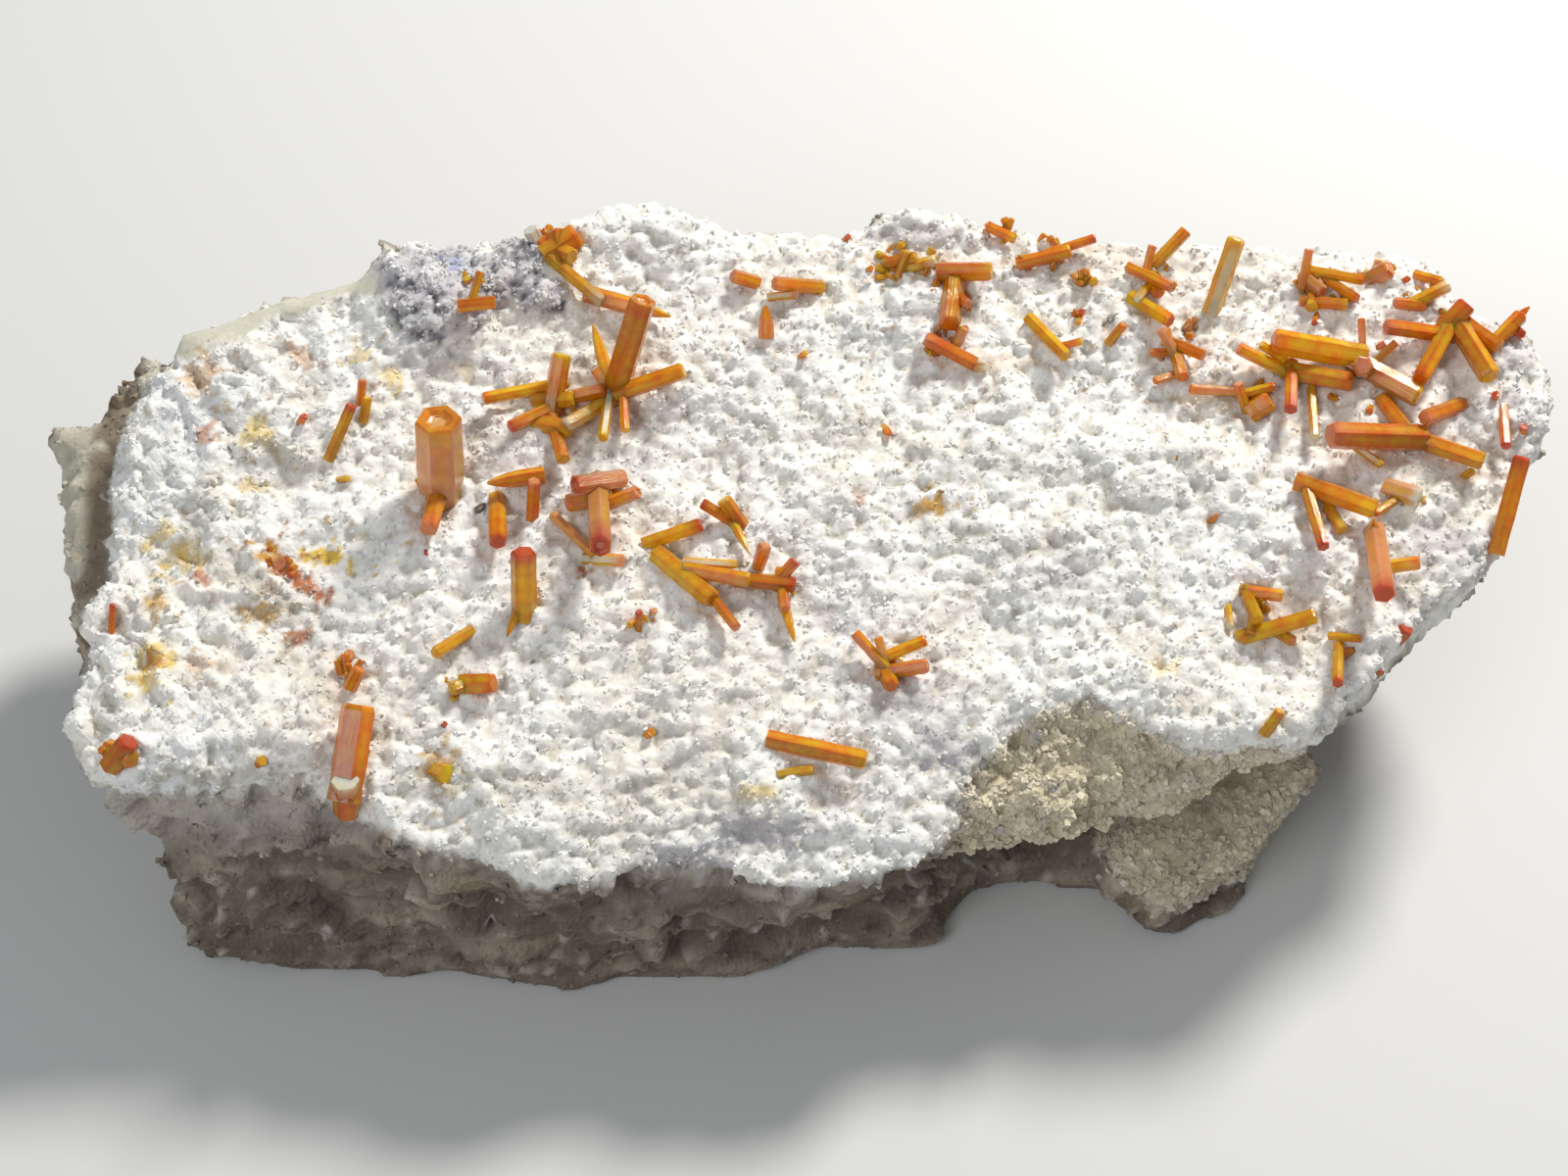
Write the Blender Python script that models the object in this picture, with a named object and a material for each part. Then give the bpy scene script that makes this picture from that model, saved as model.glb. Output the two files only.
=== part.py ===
"""A vanadinite specimen: orange six-sided prisms on a slab of rock with a white granular crust.

Metres, +Z up, the underside flat at z = 0. Pixel readings are places on a 1600 x 1200 picture of the
specimen, seen from EYE_DISTANCE away and EYE_ELEVATION_DEG up. on_level and on_face turn a reading into a
point of the specimen. Every thickness, width, lift and depth is a real size.
"""

import math

import bmesh
import bpy
from mathutils import Matrix, Vector, noise
from mathutils.bvhtree import BVHTree

MM = 0.001

# The view that the pixel readings belong to
EYE_ELEVATION_DEG = 52.0
EYE_DISTANCE = 115.5 * MM
FOCAL_PX = 2755.6
MIDDLE_PX = (800.0, 600.0)

# The crusted upper face: its height at y = 0, and its rise towards the back
FACE_HEIGHT = 13.2 * MM
FACE_RISE_DEG = 15.0
FACE_ROLL_OFF = 1.1 * MM

# Where the front edge starts to bend down, how far it bends over, and how far right it does
FRONT_ROLL_FROM = -6.5 * MM
FRONT_ROLL_REACH = 6.0 * MM
FRONT_ROLL_RIGHT_END = 8.0 * MM

# Levels and outline of the slab
SLAB_CENTRE = (0.0, 2.0 * MM)
FOOT_LEVEL = -0.9 * MM
WAIST_LEVEL = 4.5 * MM
LIP_HEIGHT = 1.3 * MM
LEDGE_DRAW_IN = 0.94
RING_POINTS = 120

# Size and depth of the skin's roughness, with a shift that tells one noise from another
ROUGH_COARSE = (5.0 * MM, 0.45 * MM)
ROUGH_FINE = (1.7 * MM, 0.26 * MM)
RIDGE_SIZE = 2.8 * MM
ROUGH_FLANK = (6.5 * MM, 1.5 * MM)
FINE_SHIFT = Vector((7.0, 3.0, 5.0))
RIDGE_SHIFT = Vector((1.0, 9.0, 4.0))
FLANK_SHIFT = Vector((2.0, 6.0, 8.0))

# Beds of the sides: spacing, depth, size of their wandering, and the level where they fade out
BED_HEIGHT = 2.1 * MM
BED_DEPTH = 0.35 * MM
BED_WANDER_SIZE = 9.3 * MM
BED_WANDER = 4.2
FLANK_TOP = 11.0 * MM
FLANK_FADE = 3.0 * MM

# Upward parts of the normals from which the skin counts as the face, and up to which as a side
FACE_FROM = 0.3
SIDE_UP_TO = 0.55

# Grids and triangle counts of the meshes
VOXEL = 0.62 * MM
CLEARANCE_VOXEL = 0.45 * MM
ROCK_TRIANGLES = 4040
CLEARANCE_TRIANGLES = 2600
GROUND_SIZE = 200.0 * MM
LEAST_EDGE = 0.002 * MM
MERGE_ANGLES_DEG = (13.0, 9.0, 5.0, 1.0)

# Crystals: gap to the rock, how far a seat may lie from the nominal face, turns about the axis
GAP = 0.3 * MM
SEAT_REACH = 2.5 * MM
FIRST_TURN_DEG = 11.0
NEXT_TURN_DEG = 17.0

# Proportions of the crystal ends, as shares of the radius, of the length or of the slope at the tip
SLOPE_OF_RADIUS = 0.35
SLOPE_OF_LENGTH = 0.2
BEVEL_SLOPE = 0.7
BEVEL_TIP = 0.72
POINT_SHOULDER = (0.45, 0.92)
POINT_TIP = (0.6, 0.35)
HOLLOW_RIM = (0.4, 0.9)
HOLLOW_MOUTH = 0.66
HOLLOW_FLOOR = (0.7, 0.5)
LEAST_BEVELLED = 0.61 * MM

# Edge of the crusted face, clockwise from its top left corner
FACE_EDGE_PX = [
    (182, 323), (229, 315), (293, 301), (343, 287), (404, 265), (465, 254), (513, 248), (564, 233),
    (613, 222), (695, 221), (744, 226), (799, 226), (855, 230), (900, 219), (969, 211), (1008, 223),
    (1060, 230), (1128, 248), (1217, 238), (1288, 247), (1369, 244), (1434, 262), (1478, 276),
    (1484, 308), (1528, 323), (1568, 344), (1587, 379), (1583, 402), (1591, 430), (1566, 455),
    (1552, 505), (1536, 562), (1504, 594), (1456, 603), (1438, 636), (1412, 660), (1383, 706),
    (1347, 752), (1290, 749), (1240, 763), (1206, 751), (1148, 724), (1114, 702), (1045, 728),
    (1007, 759), (968, 805), (974, 845), (945, 870), (899, 879), (823, 896), (765, 885), (715, 868),
    (670, 868), (624, 885), (593, 891), (555, 889), (499, 867), (461, 860), (423, 844), (369, 825),
    (300, 782), (254, 791), (182, 799), (113, 802), (83, 795), (76, 756), (69, 718), (67, 672),
    (83, 637), (116, 605), (123, 579), (121, 529), (118, 503), (123, 470), (140, 423), (158, 380),
]

# The waist, a little below half the height: readings along the front, then estimated places behind
WAIST_FRONT_PX = [
    (1400, 610), (1375, 650), (1330, 690), (1290, 720), (1200, 745), (1100, 775), (1010, 835), (950, 885),
    (880, 915), (780, 930), (670, 932), (560, 926), (450, 920), (340, 915), (250, 905), (178, 880),
    (168, 845), (150, 800), (150, 740),
]
WAIST_BACK = [
    (-27.5 * MM, 1.0 * MM), (-28.0 * MM, 7.0 * MM), (-25.0 * MM, 14.0 * MM), (-17.0 * MM, 17.5 * MM),
    (-6.0 * MM, 19.6 * MM), (6.0 * MM, 19.8 * MM), (17.0 * MM, 18.9 * MM), (26.0 * MM, 17.0 * MM),
    (29.5 * MM, 12.0 * MM),
]

# The foot that the rock rests on
FOOT_FRONT_PX = [
    (1325, 770), (1300, 815), (1255, 868), (1187, 915), (1125, 920), (1075, 910), (1018, 918), (985, 928),
    (930, 962), (860, 986), (773, 994), (670, 1004), (570, 998), (490, 992), (415, 1006), (346, 986),
    (277, 973), (235, 950), (200, 900),
]
FOOT_BACK = [
    (-24.5 * MM, -1.0 * MM), (-25.0 * MM, 8.0 * MM), (-21.0 * MM, 14.5 * MM), (-10.0 * MM, 18.6 * MM),
    (4.0 * MM, 19.0 * MM), (16.0 * MM, 18.0 * MM), (23.0 * MM, 15.0 * MM), (25.0 * MM, 9.0 * MM),
]

# Forms that join the slab: outline readings, height of the top over the face, and thickness
LEDGES = {
    "back_layer": (
        [
            (43, 424), (107, 419), (123, 405), (132, 380), (143, 359), (173, 349), (240, 400), (240, 620),
            (150, 660), (84, 640), (74, 586), (67, 546), (70, 526), (63, 503), (65, 476), (58, 451),
        ],
        -2.4 * MM, 5.0 * MM,
    ),
    "left_step": (
        [(162, 826), (190, 795), (290, 770), (380, 800), (430, 860), (350, 885), (240, 875), (175, 862)],
        -2.6 * MM, 9.5 * MM,
    ),
    "sugar_layer": (
        [
            (965, 815), (1040, 690), (1160, 670), (1290, 700), (1262, 755), (1236, 775), (1206, 798),
            (1152, 804), (1118, 797), (1091, 828), (1068, 822), (1037, 833), (1008, 832), (974, 852),
        ],
        -1.5 * MM, 2.6 * MM,
    ),
    "right_knob": (
        [
            (1130, 862), (1150, 800), (1230, 730), (1330, 740), (1338, 772), (1309, 820), (1292, 842),
            (1286, 862), (1268, 884), (1236, 889), (1226, 903), (1210, 919), (1186, 921), (1160, 902),
        ],
        -7.2 * MM, 7.0 * MM,
    ),
}

# Lumps that stand on the face: reading, half sizes across, along and up, and turn about the vertical
LUMPS = [
    ((437, 312), (2.6 * MM, 2.7 * MM, 0.9 * MM), 20.0),
    ((415, 272), (1.5 * MM, 1.2 * MM, 0.8 * MM), -10.0),
    ((548, 283), (1.7 * MM, 2.0 * MM, 0.7 * MM), 15.0),
    ((640, 232), (3.4 * MM, 1.0 * MM, 0.6 * MM), 0.0),
    ((950, 228), (2.8 * MM, 1.1 * MM, 0.7 * MM), 0.0),
    ((690, 370), (3.2 * MM, 2.3 * MM, 0.6 * MM), 30.0),
    ((520, 470), (3.0 * MM, 2.6 * MM, 0.5 * MM), 0.0),
    ((1185, 470), (4.2 * MM, 2.4 * MM, 0.6 * MM), -20.0),
    ((1330, 560), (2.6 * MM, 2.0 * MM, 0.6 * MM), 10.0),
    ((300, 745), (2.6 * MM, 1.3 * MM, 0.6 * MM), 10.0),
    ((760, 830), (3.0 * MM, 0.9 * MM, 0.4 * MM), 0.0),
    ((560, 850), (3.2 * MM, 1.2 * MM, 0.6 * MM), -8.0),
    ((1070, 880), (3.4 * MM, 1.0 * MM, 0.8 * MM), 0.0),
    ((130, 740), (1.8 * MM, 1.7 * MM, 0.5 * MM), 0.0),
    ((230, 370), (2.2 * MM, 1.6 * MM, 0.5 * MM), 20.0),
]

# Pits and hollows of the face: reading, radius and depth
PITS = [
    ((505, 735), 2.2 * MM, 0.75 * MM),
    ((588, 768), 2.0 * MM, 0.85 * MM),
    ((655, 752), 1.8 * MM, 0.60 * MM),
    ((430, 770), 2.0 * MM, 0.50 * MM),
    ((705, 800), 2.2 * MM, 0.60 * MM),
    ((855, 800), 2.6 * MM, 0.50 * MM),
    ((310, 660), 2.4 * MM, 0.60 * MM),
    ((190, 560), 2.0 * MM, 0.55 * MM),
    ((250, 480), 1.6 * MM, 0.45 * MM),
    ((395, 470), 2.4 * MM, 0.55 * MM),
    ((700, 480), 2.6 * MM, 0.45 * MM),
    ((850, 620), 3.0 * MM, 0.50 * MM),
    ((1010, 640), 2.6 * MM, 0.50 * MM),
    ((900, 360), 2.6 * MM, 0.40 * MM),
    ((1120, 600), 2.2 * MM, 0.40 * MM),
    ((1100, 745), 1.5 * MM, 0.80 * MM),
    ((1030, 790), 1.3 * MM, 0.70 * MM),
]

# The small hole in the right knob: reading, level, radius and depth
KNOB_HOLE = ((1238, 852), 3.2 * MM, 0.9 * MM, 0.70 * MM)

# How a crystal ends
FLAT, BEVEL, POINT, HOLLOW = "flat", "bevel", "point", "hollow"

# Crystals of each group: root and tip readings, width, lift of root and tip over the face, and end
CRYSTALS = {
    "tower": [
        ((451, 508), (447, 427), 2.10 * MM, -0.2 * MM, 3.8 * MM, HOLLOW),
        ((448, 500), (437, 541), 0.92 * MM, 0.6 * MM, 0.9 * MM, BEVEL),
    ],
    "slim_red": [((336, 467), (359, 413), 0.60 * MM, 0.2 * MM, 1.2 * MM, BEVEL)],
    "slim_mates": [
        ((371, 428), (375, 405), 0.50 * MM, 0.4 * MM, 0.6 * MM, BEVEL),
        ((368, 411), (370, 387), 0.44 * MM, 0.4 * MM, 0.8 * MM, BEVEL),
    ],
    "curved_blade": [
        ((552, 485), (497, 493), 0.78 * MM, 0.8 * MM, 0.8 * MM, POINT),
        ((543, 529), (545, 490), 0.64 * MM, 0.1 * MM, 1.2 * MM, BEVEL),
    ],
    "left_stub": [((507, 510), (508, 554), 0.92 * MM, 0.3 * MM, 1.2 * MM, BEVEL)],
    "bullet": [
        ((535, 634), (534, 562), 1.14 * MM, 0.0 * MM, 2.6 * MM, BEVEL),
        ((530, 618), (517, 650), 0.40 * MM, 0.6 * MM, 0.6 * MM, POINT),
    ],
    "low_stub": [((479, 645), (443, 667), 0.62 * MM, 0.4 * MM, 0.9 * MM, BEVEL)],
    "left_star": [
        ((634, 488), (586, 495), 0.86 * MM, 0.7 * MM, 1.4 * MM, HOLLOW),
        ((610, 518), (651, 502), 0.62 * MM, 0.7 * MM, 1.7 * MM, HOLLOW),
        ((609, 492), (613, 558), 1.14 * MM, 0.3 * MM, 2.6 * MM, HOLLOW),
        ((620, 506), (578, 514), 0.82 * MM, 0.5 * MM, 0.8 * MM, BEVEL),
    ],
    "left_star_foot": [
        ((566, 527), (606, 566), 0.50 * MM, 0.4 * MM, 0.5 * MM, FLAT),
        ((598, 570), (636, 572), 0.56 * MM, 0.4 * MM, 0.5 * MM, FLAT),
    ],
    "upper_star": [
        ((562, 425), (573, 361), 1.00 * MM, 0.3 * MM, 1.9 * MM, BEVEL),
        ((570, 392), (493, 407), 0.60 * MM, 0.7 * MM, 0.9 * MM, BEVEL),
        ((576, 409), (520, 436), 0.58 * MM, 0.7 * MM, 0.9 * MM, BEVEL),
        ((547, 409), (585, 407), 0.80 * MM, 0.7 * MM, 0.9 * MM, BEVEL),
        ((566, 409), (617, 398), 0.74 * MM, 0.6 * MM, 0.9 * MM, BEVEL),
        ((622, 408), (577, 434), 0.70 * MM, 0.7 * MM, 0.9 * MM, BEVEL),
        ((563, 425), (575, 470), 0.68 * MM, 0.6 * MM, 0.9 * MM, BEVEL),
        ((548, 432), (583, 438), 0.90 * MM, 0.5 * MM, 0.6 * MM, BEVEL),
        ((624, 412), (656, 306), 1.26 * MM, 0.0 * MM, 4.0 * MM, HOLLOW),
        ((624, 398), (605, 331), 0.62 * MM, 0.6 * MM, 1.2 * MM, POINT),
        ((627, 404), (607, 377), 0.46 * MM, 0.6 * MM, 0.9 * MM, FLAT),
        ((620, 405), (698, 378), 0.80 * MM, 0.6 * MM, 1.0 * MM, BEVEL),
        ((622, 398), (615, 448), 0.54 * MM, 0.7 * MM, 1.4 * MM, BEVEL),
        ((636, 400), (638, 440), 0.46 * MM, 0.8 * MM, 0.9 * MM, BEVEL),
    ],
    "rim_lump": [
        ((558, 262), (590, 240), 1.30 * MM, 0.3 * MM, 0.6 * MM, BEVEL),
        ((572, 268), (570, 236), 1.10 * MM, 0.3 * MM, 0.9 * MM, BEVEL),
        ((556, 250), (584, 262), 0.90 * MM, 0.5 * MM, 0.8 * MM, BEVEL),
        ((560, 262), (614, 308), 0.66 * MM, 0.6 * MM, 0.8 * MM, BEVEL),
        ((600, 300), (684, 323), 0.80 * MM, 0.7 * MM, 1.0 * MM, POINT),
    ],
    "pale_cube": [((549, 249), (541, 234), 0.80 * MM, 0.2 * MM, 0.7 * MM, FLAT)],
    "patch_sprig": [
        ((480, 312), (490, 277), 0.46 * MM, 0.8 * MM, 1.8 * MM, BEVEL),
        ((470, 312), (506, 308), 0.66 * MM, 1.0 * MM, 1.2 * MM, BEVEL),
    ],
    "chain_red_end": [((659, 555), (716, 535), 0.72 * MM, 0.4 * MM, 0.8 * MM, BEVEL)],
    "chain": [
        ((672, 566), (727, 612), 0.92 * MM, 0.4 * MM, 0.7 * MM, BEVEL),
        ((722, 603), (752, 641), 0.50 * MM, 0.6 * MM, 1.0 * MM, BEVEL),
        ((700, 581), (765, 592), 0.68 * MM, 0.7 * MM, 0.9 * MM, BEVEL),
        ((700, 573), (752, 576), 0.38 * MM, 0.7 * MM, 0.7 * MM, FLAT),
        ((752, 591), (812, 596), 0.74 * MM, 0.6 * MM, 0.7 * MM, BEVEL),
        ((796, 584), (801, 622), 0.52 * MM, 0.6 * MM, 0.9 * MM, BEVEL),
        ((789, 598), (812, 572), 0.56 * MM, 0.7 * MM, 1.0 * MM, BEVEL),
        ((798, 610), (811, 655), 0.44 * MM, 0.6 * MM, 0.7 * MM, POINT),
    ],
    "trio": [
        ((750, 534), (716, 513), 0.56 * MM, 0.6 * MM, 1.1 * MM, BEVEL),
        ((756, 535), (738, 509), 0.68 * MM, 0.5 * MM, 1.2 * MM, BEVEL),
        ((745, 528), (766, 566), 0.46 * MM, 0.6 * MM, 0.7 * MM, POINT),
    ],
    "chain_pink": [((774, 577), (781, 556), 0.62 * MM, 0.4 * MM, 1.1 * MM, BEVEL)],
    "low_v": [
        ((912, 690), (872, 646), 0.54 * MM, 0.6 * MM, 0.9 * MM, BEVEL),
        ((905, 682), (896, 650), 0.42 * MM, 0.6 * MM, 1.0 * MM, BEVEL),
        ((900, 672), (945, 653), 0.56 * MM, 0.7 * MM, 0.9 * MM, BEVEL),
        ((896, 687), (947, 679), 0.68 * MM, 0.6 * MM, 1.0 * MM, BEVEL),
        ((900, 678), (910, 701), 0.70 * MM, 0.5 * MM, 0.6 * MM, BEVEL),
    ],
    "lying": [((786, 755), (884, 776), 0.90 * MM, 0.5 * MM, 0.7 * MM, BEVEL)],
    "lying_mate": [((796, 790), (830, 785), 0.46 * MM, 0.4 * MM, 0.5 * MM, BEVEL)],
    "carrot": [
        ((355, 826), (352, 796), 1.26 * MM, 0.3 * MM, 0.9 * MM, FLAT),
        ((351, 815), (366, 719), 1.50 * MM, 0.6 * MM, 1.3 * MM, BEVEL),
    ],
    "carrot_chunk": [((358, 700), (367, 682), 0.66 * MM, 0.4 * MM, 0.6 * MM, BEVEL)],
    "amber_stub": [
        ((474, 698), (504, 697), 1.00 * MM, 0.4 * MM, 0.7 * MM, BEVEL),
        ((480, 697), (460, 703), 0.66 * MM, 0.4 * MM, 0.5 * MM, BEVEL),
    ],
    "corner_chunk": [
        ((114, 780), (132, 756), 1.10 * MM, 0.4 * MM, 0.7 * MM, BEVEL),
        ((112, 765), (136, 775), 0.90 * MM, 0.4 * MM, 0.6 * MM, BEVEL),
    ],
    "top_pink": [((771, 288), (747, 281), 0.64 * MM, 0.4 * MM, 0.9 * MM, BEVEL)],
    "top_prism": [
        ((837, 293), (789, 289), 0.66 * MM, 0.4 * MM, 0.9 * MM, BEVEL),
        ((786, 303), (812, 300), 0.40 * MM, 0.5 * MM, 0.5 * MM, FLAT),
    ],
    "top_spike": [((782, 343), (781, 312), 0.70 * MM, 0.5 * MM, 0.9 * MM, POINT)],
    "top_druse": [
        ((905, 268), (935, 262), 0.60 * MM, 0.4 * MM, 0.5 * MM, BEVEL),
        ((922, 274), (955, 266), 0.56 * MM, 0.4 * MM, 0.5 * MM, BEVEL),
        ((917, 280), (926, 256), 0.50 * MM, 0.4 * MM, 0.7 * MM, BEVEL),
    ],
    "top_chunk": [
        ((960, 277), (1012, 277), 0.96 * MM, 0.6 * MM, 1.1 * MM, BEVEL),
        ((975, 278), (969, 332), 1.05 * MM, 0.5 * MM, 0.8 * MM, BEVEL),
        ((976, 300), (988, 311), 0.50 * MM, 0.7 * MM, 1.0 * MM, BEVEL),
    ],
    "top_amber": [
        ((992, 370), (944, 345), 0.76 * MM, 0.4 * MM, 0.7 * MM, BEVEL),
        ((975, 352), (984, 334), 0.50 * MM, 0.5 * MM, 0.7 * MM, BEVEL),
    ],
    "top_small": [((1010, 232), (1036, 244), 0.56 * MM, 0.4 * MM, 0.6 * MM, BEVEL)],
    "top_long": [
        ((1040, 269), (1093, 256), 0.64 * MM, 0.4 * MM, 0.7 * MM, BEVEL),
        ((1070, 258), (1118, 243), 0.44 * MM, 0.6 * MM, 0.8 * MM, BEVEL),
    ],
    "top_slant": [
        ((1051, 326), (1088, 364), 0.62 * MM, 0.4 * MM, 0.8 * MM, BEVEL),
        ((1080, 354), (1104, 348), 0.38 * MM, 0.5 * MM, 0.6 * MM, FLAT),
    ],
    "ladder_top": [
        ((1178, 270), (1211, 235), 0.60 * MM, 0.6 * MM, 1.3 * MM, BEVEL),
        ((1168, 282), (1176, 250), 0.42 * MM, 0.6 * MM, 1.2 * MM, BEVEL),
        ((1153, 273), (1195, 293), 0.54 * MM, 0.8 * MM, 1.2 * MM, BEVEL),
        ((1180, 282), (1160, 306), 0.44 * MM, 0.6 * MM, 0.8 * MM, BEVEL),
        ((1178, 283), (1182, 300), 0.66 * MM, 0.5 * MM, 0.6 * MM, BEVEL),
        ((1155, 304), (1195, 328), 0.72 * MM, 0.5 * MM, 0.9 * MM, BEVEL),
    ],
    "ladder_stub": [((1132, 349), (1147, 331), 0.48 * MM, 0.4 * MM, 0.7 * MM, BEVEL)],
    "long_window": [((1236, 318), (1262, 243), 0.86 * MM, 0.2 * MM, 2.4 * MM, BEVEL)],
    "small_cross": [
        ((1201, 366), (1185, 336), 0.54 * MM, 0.6 * MM, 1.1 * MM, BEVEL),
        ((1195, 349), (1229, 363), 0.56 * MM, 0.7 * MM, 0.9 * MM, BEVEL),
        ((1203, 360), (1173, 360), 0.44 * MM, 0.6 * MM, 0.7 * MM, BEVEL),
        ((1200, 358), (1207, 386), 0.62 * MM, 0.6 * MM, 0.9 * MM, BEVEL),
        ((1204, 380), (1178, 389), 0.40 * MM, 0.5 * MM, 0.6 * MM, BEVEL),
    ],
    "ochre_chunk": [
        ((1265, 400), (1214, 397), 0.46 * MM, 0.5 * MM, 0.6 * MM, BEVEL),
        ((1272, 418), (1263, 391), 0.50 * MM, 0.5 * MM, 1.0 * MM, BEVEL),
        ((1277, 420), (1297, 408), 1.00 * MM, 0.5 * MM, 0.6 * MM, BEVEL),
        ((1264, 403), (1301, 394), 0.46 * MM, 0.7 * MM, 0.7 * MM, BEVEL),
    ],
    "big_right": [
        ((1390, 364), (1299, 348), 1.16 * MM, 0.8 * MM, 1.5 * MM, BEVEL),
        ((1326, 386), (1263, 355), 0.62 * MM, 0.6 * MM, 0.9 * MM, BEVEL),
        ((1320, 374), (1286, 351), 0.46 * MM, 0.7 * MM, 0.9 * MM, BEVEL),
        ((1318, 372), (1317, 419), 0.64 * MM, 0.7 * MM, 1.3 * MM, BEVEL),
        ((1338, 396), (1342, 447), 0.44 * MM, 0.6 * MM, 0.7 * MM, BEVEL),
        ((1312, 378), (1380, 390), 0.96 * MM, 0.6 * MM, 0.7 * MM, BEVEL),
        ((1391, 378), (1391, 373), 0.98 * MM, 0.3 * MM, 2.1 * MM, BEVEL),
        ((1380, 368), (1449, 405), 1.05 * MM, 0.7 * MM, 0.9 * MM, BEVEL),
        ((1395, 376), (1425, 349), 0.38 * MM, 0.6 * MM, 0.9 * MM, BEVEL),
        ((1391, 368), (1389, 325), 0.38 * MM, 0.6 * MM, 0.8 * MM, BEVEL),
    ],
    "right_star": [
        ((1480, 342), (1414, 333), 0.82 * MM, 0.8 * MM, 1.3 * MM, BEVEL),
        ((1483, 325), (1449, 387), 0.94 * MM, 0.8 * MM, 1.2 * MM, BEVEL),
        ((1484, 326), (1521, 385), 1.02 * MM, 0.8 * MM, 1.2 * MM, BEVEL),
        ((1490, 325), (1530, 354), 0.74 * MM, 0.7 * MM, 0.9 * MM, BEVEL),
        ((1474, 336), (1498, 310), 1.00 * MM, 0.7 * MM, 1.2 * MM, BEVEL),
        ((1519, 356), (1553, 321), 0.70 * MM, 0.6 * MM, 0.8 * MM, BEVEL),
        ((1544, 328), (1561, 313), 0.42 * MM, 0.7 * MM, 0.8 * MM, POINT),
    ],
    "over_star": [
        ((1450, 312), (1423, 309), 0.54 * MM, 0.5 * MM, 0.8 * MM, BEVEL),
        ((1437, 312), (1479, 291), 0.62 * MM, 0.5 * MM, 0.9 * MM, BEVEL),
        ((1446, 281), (1472, 288), 0.50 * MM, 0.5 * MM, 0.7 * MM, BEVEL),
        ((1462, 300), (1465, 282), 0.44 * MM, 0.4 * MM, 0.6 * MM, FLAT),
    ],
    "top_right": [
        ((1338, 276), (1392, 286), 0.54 * MM, 0.6 * MM, 0.9 * MM, BEVEL),
        ((1352, 284), (1385, 305), 0.52 * MM, 0.6 * MM, 0.8 * MM, BEVEL),
        ((1330, 307), (1375, 311), 0.56 * MM, 0.5 * MM, 0.7 * MM, BEVEL),
        ((1329, 292), (1336, 254), 0.44 * MM, 0.6 * MM, 1.2 * MM, BEVEL),
        ((1330, 283), (1350, 298), 0.70 * MM, 0.5 * MM, 0.6 * MM, BEVEL),
        ((1340, 298), (1338, 314), 0.60 * MM, 0.5 * MM, 0.5 * MM, FLAT),
    ],
    "top_corner": [((1400, 284), (1419, 273), 0.90 * MM, 0.4 * MM, 0.7 * MM, BEVEL)],
    "edge_slim": [((1534, 417), (1537, 456), 0.52 * MM, 0.4 * MM, 1.0 * MM, BEVEL)],
    "edge_tall": [((1527, 563), (1553, 466), 0.86 * MM, 0.5 * MM, 1.9 * MM, BEVEL)],
    "mid_right": [
        ((1450, 447), (1357, 444), 1.28 * MM, 0.7 * MM, 1.6 * MM, BEVEL),
        ((1440, 446), (1514, 471), 0.90 * MM, 0.7 * MM, 1.1 * MM, BEVEL),
        ((1411, 408), (1436, 441), 0.74 * MM, 0.6 * MM, 0.7 * MM, BEVEL),
        ((1384, 456), (1410, 475), 0.40 * MM, 0.7 * MM, 0.8 * MM, BEVEL),
    ],
    "mid_right_pink": [((1491, 413), (1452, 427), 0.72 * MM, 0.5 * MM, 1.1 * MM, BEVEL)],
    "v_pair": [
        ((1325, 491), (1404, 520), 0.92 * MM, 0.6 * MM, 1.0 * MM, BEVEL),
        ((1331, 493), (1351, 559), 0.62 * MM, 0.6 * MM, 0.9 * MM, BEVEL),
        ((1352, 512), (1370, 542), 0.60 * MM, 0.4 * MM, 0.5 * MM, BEVEL),
    ],
    "right_druse": [
        ((1415, 498), (1449, 508), 0.96 * MM, 0.4 * MM, 0.5 * MM, BEVEL),
        ((1428, 508), (1402, 524), 0.42 * MM, 0.5 * MM, 0.5 * MM, BEVEL),
    ],
    "tall_right": [
        ((1403, 543), (1413, 607), 1.08 * MM, 0.5 * MM, 2.6 * MM, BEVEL),
        ((1404, 556), (1402, 529), 0.44 * MM, 0.7 * MM, 0.8 * MM, POINT),
        ((1404, 580), (1449, 574), 0.60 * MM, 0.6 * MM, 0.8 * MM, BEVEL),
    ],
    "low_right": [
        ((1268, 603), (1309, 608), 0.56 * MM, 0.6 * MM, 0.8 * MM, BEVEL),
        ((1270, 602), (1284, 634), 0.60 * MM, 0.6 * MM, 0.9 * MM, BEVEL),
        ((1265, 651), (1343, 628), 0.78 * MM, 0.5 * MM, 0.9 * MM, BEVEL),
        ((1280, 620), (1276, 648), 0.50 * MM, 0.5 * MM, 0.6 * MM, FLAT),
        ((1300, 642), (1320, 655), 0.50 * MM, 0.4 * MM, 0.5 * MM, BEVEL),
    ],
    "low_right_window": [((1366, 660), (1365, 698), 0.60 * MM, 0.4 * MM, 1.2 * MM, BEVEL)],
    "low_right_slim": [((1359, 649), (1389, 652), 0.40 * MM, 0.4 * MM, 0.6 * MM, BEVEL)],
    "overhang_stub": [((1291, 747), (1307, 725), 0.60 * MM, 0.3 * MM, 0.6 * MM, BEVEL)],
}

# Materials: colour, roughness, clearness
STONE = ("crust_white", (0.88, 0.86, 0.80, 1.0), 0.92, 0.0)
ORANGE = ("vanadinite_orange", (0.85, 0.33, 0.03, 1.0), 0.22, 0.25)
PALE = ("pale_crystal", (0.80, 0.80, 0.76, 1.0), 0.30, 0.30)

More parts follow.
